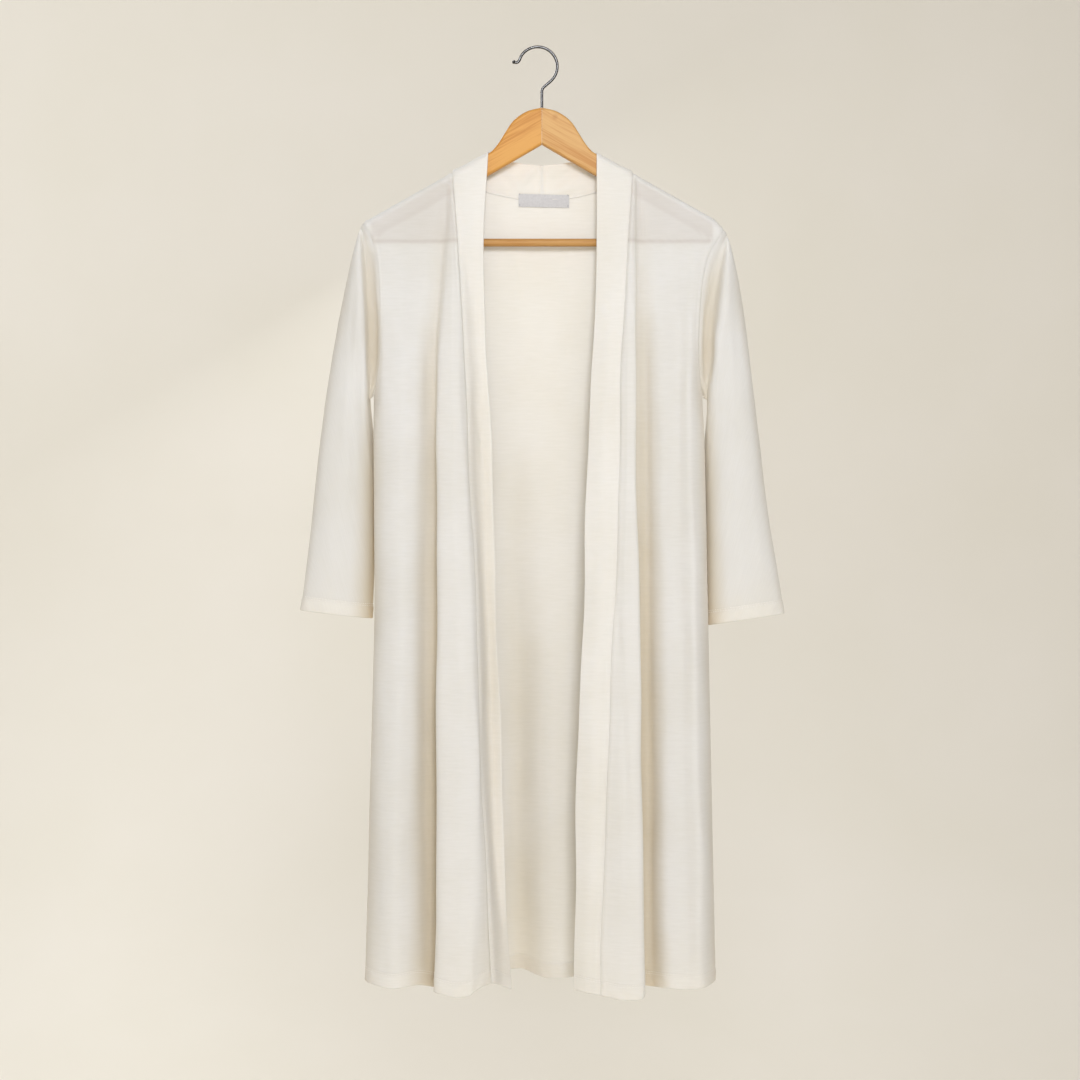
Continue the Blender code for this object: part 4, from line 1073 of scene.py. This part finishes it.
def plain_material(name, code, roughness, scale, spread, bump_height=0.0002, metallic=0.0):
    """A finish of one colour with a fine uneven tone and surface."""
    made, shader = new_material(name)
    place = add_node(made, "ShaderNodeTexCoord")
    noise = add_node(
        made, "ShaderNodeTexNoise", links={"Vector": place.outputs["Object"]}, Scale=scale, Detail=3.0
    )
    tone = add_node(made, "ShaderNodeValToRGB", links={"Fac": noise.outputs[0]})
    set_ramp(tone, ((0.3, spread), (0.7, code)))
    made.node_tree.links.new(shader.inputs["Base Color"], tone.outputs[0])
    bump = add_node(
        made, "ShaderNodeBump", links={"Height": noise.outputs[0]}, Strength=0.3, Distance=bump_height
    )
    made.node_tree.links.new(shader.inputs["Normal"], bump.outputs[0])
    set_values(shader, Roughness=roughness, Metallic=metallic)
    return made


def wood_material(name, pale, dark, slope, knot=None):
    """Beech under clear lacquer: fine grain that runs along the arm, pores and a low gloss."""
    made, shader = new_material(name)
    place = add_node(made, "ShaderNodeTexCoord")
    turned = add_node(
        made, "ShaderNodeMapping", links={"Vector": place.outputs["Object"]}, Rotation=(0.0, slope, 0.0)
    )
    fine = add_node(
        made, "ShaderNodeMapping", links={"Vector": turned.outputs[0]}, Scale=(22.0, 300.0, 620.0)
    )
    grain = add_node(
        made, "ShaderNodeTexNoise", links={"Vector": fine.outputs[0]}, Scale=1.0, Detail=4.0, Distortion=0.3
    )
    wide = add_node(
        made, "ShaderNodeMapping", links={"Vector": turned.outputs[0]}, Scale=(7.0, 60.0, 90.0)
    )
    rings = add_node(made, "ShaderNodeTexNoise", links={"Vector": wide.outputs[0]}, Scale=1.0, Detail=2.0)
    added = add_node(
        made, "ShaderNodeMath", {"operation": "ADD"}, links={0: grain.outputs[0], 1: rings.outputs[0]}
    )
    half = add_node(made, "ShaderNodeMath", {"operation": "MULTIPLY"}, links={0: added.outputs[0]})
    half.inputs[1].default_value = 0.5
    tone = add_node(made, "ShaderNodeValToRGB", links={"Fac": half.outputs[0]})
    set_ramp(tone, ((0.38, dark), (0.56, pale)))
    colour = tone.outputs[0]
    if knot:
        away = add_node(
            made, "ShaderNodeVectorMath", {"operation": "DISTANCE"}, links={0: place.outputs["Object"]}
        )
        away.inputs[1].default_value = Vector(knot) * MM
        ring = add_node(
            made, "ShaderNodeMapRange", links={"Value": away.outputs["Value"]},
            From_Min=0.0015, From_Max=0.0045, To_Min=0.4, To_Max=0.0,
        )
        mixed = add_node(
            made, "ShaderNodeMix", {"data_type": "RGBA"}, links={0: ring.outputs[0], 6: colour}
        )
        mixed.inputs[7].default_value = linear("A86F36")
        colour = mixed.outputs[2]
    made.node_tree.links.new(shader.inputs["Base Color"], colour)
    bump = add_node(
        made, "ShaderNodeBump", links={"Height": grain.outputs[0]}, Strength=0.2, Distance=0.0002
    )
    made.node_tree.links.new(shader.inputs["Normal"], bump.outputs[0])
    set_values(shader, Roughness=0.55, Coat_Weight=0.06, Coat_Roughness=0.4, Specular_IOR_Level=0.3)
    return made


def stitches(name, lines, thread, outward_shift):
    """Rows of short thread stitches along lines on the cloth, each a rounded bead with its own place."""
    vertices, faces = [], []
    count, sides = len(BEAD_RADII), BEAD_SIDES
    for line, normals in lines:
        run = np.concatenate([[0], np.cumsum(np.linalg.norm(np.diff(line, axis=0), axis=1))])
        for start in np.arange(STITCH_PITCH / 2, run[-1] - STITCH_PITCH / 2, STITCH_PITCH):
            at = start + np.array(BEAD_PLACES) * STITCH_LENGTH
            centre, up = (
                np.stack([np.interp(at, run, values[:, k]) for k in range(3)], axis=1)
                for values in (line, normals)
            )
            centre = centre + up * (np.array(BEAD_LIFTS) + outward_shift)[:, None]
            along = centre[-1] - centre[0]
            along /= np.linalg.norm(along)
            side = np.cross(up[2], along)
            base = len(vertices)
            for middle, radius in zip(centre, BEAD_RADII):
                for n in range(sides):
                    angle = 2 * math.pi * n / sides
                    way = side * math.cos(angle) + up[2] * math.sin(angle)
                    vertices.append(middle + way * (radius * THREAD))
            for first in range(base, base + (count - 1) * sides, sides):
                for n in range(sides):
                    m = (n + 1) % sides
                    faces.append([first + n, first + m, first + sides + m, first + sides + n])
            faces.append([base + n for n in range(sides - 1, -1, -1)])
            faces.append([base + (count - 1) * sides + n for n in range(sides)])
    mesh = bpy.data.meshes.new(name)
    mesh.from_pydata((np.array(vertices) * MM).tolist(), [], faces)
    mesh.materials.append(thread)
    mesh.shade_smooth()
    made = add_object(name, mesh)
    recalculate(made)
    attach(made, "root")
    return made


def recalculate(piece):
    """Turns the faces of a piece outwards."""
    select_only(piece)
    bpy.ops.object.mode_set(mode="EDIT")
    bpy.ops.mesh.select_all(action="SELECT")
    bpy.ops.mesh.normals_make_consistent(inside=False)
    bpy.ops.object.mode_set(mode="OBJECT")


def select_only(piece):
    """Selects one object and makes it active."""
    bpy.ops.object.select_all(action="DESELECT")
    piece.select_set(True)
    bpy.context.view_layer.objects.active = piece


def hem_lines(cloth):
    """The two lines of hem stitches on the outer face, each with its normals."""
    lines = []
    outer, _ = cloth.halves()
    for distance in STITCH_ROWS:
        picked, normals = [], []
        for c in range(cloth.grid.shape[1]):
            to_hem = cloth.to_hem[:, c]
            order = np.argsort(to_hem)
            skin = cloth.grid[order, c] + cloth.normal[order, c] * outer[order, c, None]
            normal = cloth.normal[order, c]
            picked.append([np.interp(distance, to_hem[order], skin[:, k]) for k in range(3)])
            normals.append([np.interp(distance, to_hem[order], normal[:, k]) for k in range(3)])
        if cloth.closed:
            picked.append(picked[0])
            normals.append(normals[0])
        lines.append((np.array(picked), np.array(normals)))
    return lines


def make_garment(jersey, thread):
    """The seven pieces of the garment, each a sheet in place of its solid, and the hem stitches."""
    pieces = [Cloth("back", back_grid(), 1, 0.4)]
    for side, turn in (("left", -1), ("right", 1)):
        pieces.append(Cloth(f"front_{side}", front_grid(side), -turn, 1.1 + turn))
        pieces.append(Cloth(f"sleeve_{side}", sleeve_grid(side), turn, 2.3 + turn, closed=True))
        pieces.append(Cloth(f"band_{side}", band_grid(side), turn, 3.7 + turn))
    # Depth maps for the painted shade in the recesses between the folds.
    fronts, backs = depth_map(pieces, -1), depth_map(pieces, 1)
    for cloth in pieces:
        made = cloth.build(jersey, fronts, backs)
        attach(made, "root")
        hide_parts(cloth.name)
        stitches(f"{cloth.name}_hem_stitches", hem_lines(cloth), thread, 0.0)


def smooth_sections(cells):
    """The arm's sections at close steps along it: place, top, bottom and thickness."""
    x = [s.x for s in ARM_SECTIONS]
    wanted = np.concatenate([np.linspace(a, b, cells + 1)[:-1] for a, b in zip(x, x[1:])] + [[x[-1]]])
    knots = [-v for v in x]
    rows = [wanted]
    for size in ("top", "bottom", "thickness"):
        rows.append(smooth(-wanted, knots, [getattr(s, size) for s in ARM_SECTIONS]))
    return np.stack(rows, axis=1).tolist()


def make_arm(side, material):
    """Half the hanger: a block at the joint, drawn out along the arm section by section and rounded."""
    sign = -1 if side == "left" else 1
    sections = smooth_sections(4)
    x, top, bottom, thickness = sections[0]
    bpy.ops.object.select_all(action="DESELECT")
    bpy.ops.mesh.primitive_plane_add(size=1, location=(0, 0, 0), rotation=(0, math.pi / 2, 0))
    arm = bpy.context.object
    arm.name = f"hanger_{side}_wood"
    bpy.ops.object.transform_apply(location=True, rotation=True, scale=True)
    bpy.ops.object.mode_set(mode="EDIT")
    bpy.ops.mesh.select_all(action="SELECT")
    bpy.ops.transform.resize(value=(1, thickness * MM, (top - bottom) * MM), center_override=(0, 0, 0))
    bpy.ops.transform.translate(value=(sign * x * MM, 0, (top + bottom) / 2 * MM))
    for near, far in zip(sections, sections[1:]):
        move = (sign * (far[0] - near[0]) * MM, 0, ((far[1] + far[2]) - (near[1] + near[2])) / 2 * MM)
        bpy.ops.mesh.extrude_region_move(TRANSFORM_OT_translate={"value": move})
        centre = (sign * far[0] * MM, 0, (far[1] + far[2]) / 2 * MM)
        scale = (1, far[3] / near[3], (far[1] - far[2]) / (near[1] - near[2]))
        bpy.ops.transform.resize(value=scale, center_override=centre)
    bpy.ops.mesh.select_all(action="SELECT")
    bpy.ops.mesh.normals_make_consistent(inside=False)
    bpy.ops.mesh.select_mode(type="EDGE")
    bpy.ops.mesh.select_all(action="DESELECT")
    bpy.ops.object.mode_set(mode="OBJECT")
    for edge in arm.data.edges:
        ends = [arm.data.vertices[v].co for v in edge.vertices]
        edge.select = abs(ends[0].x - ends[1].x) > 1e-5
    bpy.ops.object.mode_set(mode="EDIT")
    bpy.ops.mesh.bevel(offset=WOOD_ROUNDING * MM, segments=7, affect="EDGES")
    bpy.ops.mesh.select_mode(type="VERT")
    bpy.ops.object.mode_set(mode="OBJECT")
    bpy.ops.object.shade_smooth_by_angle(angle=math.radians(40))
    arm.data.materials.append(material)
    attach(arm, "root")
    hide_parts(f"hanger_{side}")


def make_bar(material):
    """The turned bar, with eased ends."""
    bpy.ops.object.select_all(action="DESELECT")
    bpy.ops.mesh.primitive_cylinder_add(
        vertices=48, radius=BAR_RADIUS * MM, depth=2 * BAR_END * MM, location=(0, 0, BAR_Z * MM),
        rotation=(0, math.pi / 2, 0),
    )
    bar = bpy.context.object
    bar.name = "trouser_bar_wood"
    bpy.ops.object.transform_apply(location=True, rotation=True, scale=True)
    ease = bar.modifiers.new("eased ends", "BEVEL")
    ease.width = 0.8 * MM
    ease.segments = 3
    ease.limit_method = "ANGLE"
    select_only(bar)
    bpy.ops.object.modifier_apply(modifier=ease.name)
    bpy.ops.object.shade_smooth_by_angle(angle=math.radians(40))
    bar.data.materials.append(material)
    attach(bar, "root")
    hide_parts("trouser_bar")


def hook_path():
    """The middle of the wire, from the flicked tip over the crest and down the stem."""
    inside = HOOK_RADIUS - WIRE_RADIUS
    centre_z = -math.sqrt(inside**2 - HOOK_CENTRE_X**2)
    knots = [TIP, (TIP[0] + 3.5, TIP[1] - 0.6)]
    for i in range(13):
        angle = HOOK_START + (HOOK_END - HOOK_START) * (i + 0.25) / 12.25
        x = HOOK_CENTRE_X + HOOK_RADIUS * math.cos(angle)
        knots.append((x, centre_z + HOOK_RADIUS * math.sin(angle)))
    knots += [(5.0, -43.6), (1.6, -46.8), (0.2, -49.6), (0.0, -53.0), (0.0, -70.0), (0.0, STEM_END_Z)]
    line = np.array([[(x, 0.0, z) for x, z in knots]])
    return spline(line, np.arange(0, len(knots) - 1 + 1e-6, 0.25))[0]


def make_hook(material):
    """The wire: a round drawn out and turned along its path, with the ball on its tip."""
    path = hook_path()
    bpy.ops.object.select_all(action="DESELECT")
    bpy.ops.mesh.primitive_circle_add(vertices=20, radius=WIRE_RADIUS * MM, fill_type="NGON")
    hook = bpy.context.object
    hook.name = "hook_wire"
    way = Vector(path[1] - path[0]).normalized()
    hook.rotation_mode = "QUATERNION"
    hook.rotation_quaternion = way.to_track_quat("Z", "Y")
    hook.location = Vector(path[0]) * MM
    bpy.ops.object.transform_apply(location=True, rotation=True, scale=True)
    bpy.ops.object.mode_set(mode="EDIT")
    bpy.ops.mesh.select_all(action="SELECT")
    for i in range(1, len(path)):
        step = Vector(path[i] - path[i - 1]) * MM
        bpy.ops.mesh.extrude_region_move(TRANSFORM_OT_translate={"value": step})
        ahead = Vector(path[min(i + 1, len(path) - 1)] - path[i - 1]).normalized()
        turn = way.cross(ahead).y
        if abs(turn) > 1e-6:
            bpy.ops.transform.rotate(
                value=-math.asin(max(-1.0, min(1.0, turn))), orient_axis="Y", orient_type="GLOBAL",
                center_override=Vector(path[i]) * MM,
            )
        way = ahead
    bpy.ops.mesh.select_all(action="DESELECT")
    bpy.ops.mesh.primitive_uv_sphere_add(
        segments=24, ring_count=16, radius=TIP_RADIUS * MM, location=(TIP[0] * MM, 0, TIP[1] * MM)
    )
    bpy.ops.mesh.select_all(action="SELECT")
    bpy.ops.mesh.normals_make_consistent(inside=False)
    bpy.ops.object.mode_set(mode="OBJECT")
    bpy.ops.object.shade_smooth_by_angle(angle=math.radians(50))
    hook.data.materials.append(material)
    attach(hook, "root")
    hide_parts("hook")


def make_label(material, thread):
    """A blank satin label across the neck seam, bent as the nape is, with a stitch at each corner."""
    columns, rows = 41, 13
    across = np.linspace(-0.5, 0.5, columns) * LABEL_WIDTH
    up = np.linspace(-0.5, 0.5, rows) * LABEL_HEIGHT
    x = LABEL_X + across
    side = ["left" if v < 0 else "right" for v in x]
    ratio = np.array([abs(v / neck_point(s)[0]) for v, s in zip(x, side)])
    depth = smooth(-ratio, [-p.x for p in NECK_POINTS[::-1]], [p.y for p in NECK_POINTS[::-1]])
    curl = 0.5 * (up[:, None] / LABEL_HEIGHT * 2) ** 2 + 0.25 * np.sin(across / 9.0)[None]
    y = depth[None] - LABEL_STAND_OFF + curl * 0.5
    z = LABEL_Z + across[None] * LABEL_TILT + up[:, None]
    grid = points(np.broadcast_to(x, z.shape), y, z)
    front, rear = (grid + np.array([0, turn * LABEL_PLY, 0]) for turn in (-1, 1))
    vertices = np.concatenate([front.reshape(-1, 3), rear.reshape(-1, 3)])
    area = rows * columns
    quads = grid_quads(rows, columns)
    ring = open_rim(rows, columns)
    after = np.roll(ring, -1)
    rim = np.stack([after, ring, ring + area, after + area], axis=-1)
    faces = np.concatenate([np.roll(quads[:, ::-1], 1, axis=1), np.roll(quads, -1, axis=1) + area, rim])
    mesh = bpy.data.meshes.new("label")
    mesh.from_pydata((vertices * MM).tolist(), [], faces.tolist())
    mesh.materials.append(material)
    mesh.shade_smooth()
    mesh.set_sharp_from_angle(angle=math.radians(50))
    label = add_object("label_satin", mesh)
    recalculate(label)
    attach(label, "root")
    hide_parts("label")
    half = np.array([0, 0, LABEL_STITCH])
    corner_lines = []
    for c in (1, columns - 2):
        for r in (1, rows - 2):
            line = np.linspace(front[r, c] - half, front[r, c] + half, 3)
            corner_lines.append((line, np.tile([0.0, -1.0, 0.0], (3, 1))))
    stitches("label_corner_stitches", corner_lines, thread, 0.1)


def area_light(lamp):
    """A soft box that points at a place."""
    data = bpy.data.lights.new(lamp.name, "AREA")
    data.shape = "RECTANGLE"
    data.size, data.size_y = lamp.size
    data.energy = lamp.power
    data.color = lamp.colour
    made = add_object(lamp.name, data)
    made.location = lamp.place
    made.rotation_euler = (Vector(lamp.aim) - Vector(lamp.place)).to_track_quat("-Z", "Y").to_euler()
    made.visible_camera = False


def make_studio():
    """A pale sweep of floor and far wall, soft lights and the camera at the photograph's angle."""
    bend_y = WALL_Y - SWEEP_RADIUS
    profile = [(SWEEP_FRONT, FLOOR_Z)]
    for i in range(SWEEP_STEPS + 1):
        angle = math.pi / 2 * i / SWEEP_STEPS
        across, up = SWEEP_RADIUS * math.sin(angle), SWEEP_RADIUS * (1 - math.cos(angle))
        profile.append((bend_y + across, FLOOR_Z + up))
    profile.append((WALL_Y, WALL_TOP))
    vertices = [(x, y, z) for y, z in profile for x in (-SWEEP_HALF_WIDTH, SWEEP_HALF_WIDTH)]
    faces = [[2 * i, 2 * i + 1, 2 * i + 3, 2 * i + 2] for i in range(len(profile) - 1)]
    mesh = bpy.data.meshes.new("sweep")
    mesh.from_pydata(vertices, [], faces)
    mesh.shade_smooth()
    sweep = add_object("studio_sweep", mesh)
    made, shader = new_material("painted plaster sweep")
    place = add_node(made, "ShaderNodeTexCoord")
    noise = add_node(
        made, "ShaderNodeTexNoise", links={"Vector": place.outputs["Object"]}, Scale=2.0, Detail=3.0
    )
    tone = add_node(made, "ShaderNodeValToRGB", links={"Fac": noise.outputs[0]})
    set_ramp(tone, ((0.3, "E9E5DA"), (0.7, "ECE8DF")))
    made.node_tree.links.new(shader.inputs["Base Color"], tone.outputs[0])
    set_values(shader, Roughness=0.9)
    mesh.materials.append(made)

    world = bpy.data.worlds.new("studio air")
    world.use_nodes = True
    set_values(world.node_tree.nodes["Background"], Color=linear("FFF8EF"), Strength=0.43)
    bpy.context.scene.world = world
    for lamp in LAMPS:
        area_light(lamp)
    bpy.context.scene.view_settings.view_transform = "Standard"

    data = bpy.data.cameras.new("camera")
    data.sensor_width = 36.0
    data.lens = CAMERA_LENS
    camera = add_object("camera", data)
    camera.location = CAMERA_PLACE
    camera.rotation_euler = (math.pi / 2, 0, 0)
    bpy.context.scene.camera = camera


jersey = jersey_material()
# Spun polyester thread, as white as the cloth, with little gloss.
thread = plain_material("polyester sewing thread", "F1EEE8", 0.6, 900.0, "E4E0D8")
# Satin ribbon woven of fine filaments: smooth and a little cooler and greyer than the jersey.
satin = plain_material("woven satin ribbon", "C2C0BF", 0.5, 500.0, "B8B6B5")
label_thread = plain_material("dark polyester thread", "5A5658", 0.6, 900.0, "47444A")
# Beech with a thin clear lacquer, which deepens its yellow. The left half is painted darker and more
# orange than the right, as painted shade for light that falls less on it. The right half has a knot near
# the joint.
shaded = wood_material("lacquered beech, honey", "D79E50", "C18236", math.radians(GRAIN_SLOPE))
pale = wood_material("lacquered beech, pale", "D3A668", "C0894A", math.radians(-GRAIN_SLOPE), KNOT)
turned = wood_material("lacquered beech, turned", "C19154", "AE773B", 0.0)
# Wire with a smooth chrome plate, which mirrors what is round it. All round is pale here, so the dark
# reflections it would show are painted into its own tone, which is dark, or it would show white.
chrome = plain_material("chromed steel wire", "504F4E", 0.1, 400.0, "464544", 0.00004, metallic=1.0)

make_garment(jersey, thread)
make_label(satin, label_thread)
make_arm("left", shaded)
make_arm("right", pale)
make_bar(turned)
make_hook(chrome)
make_studio()
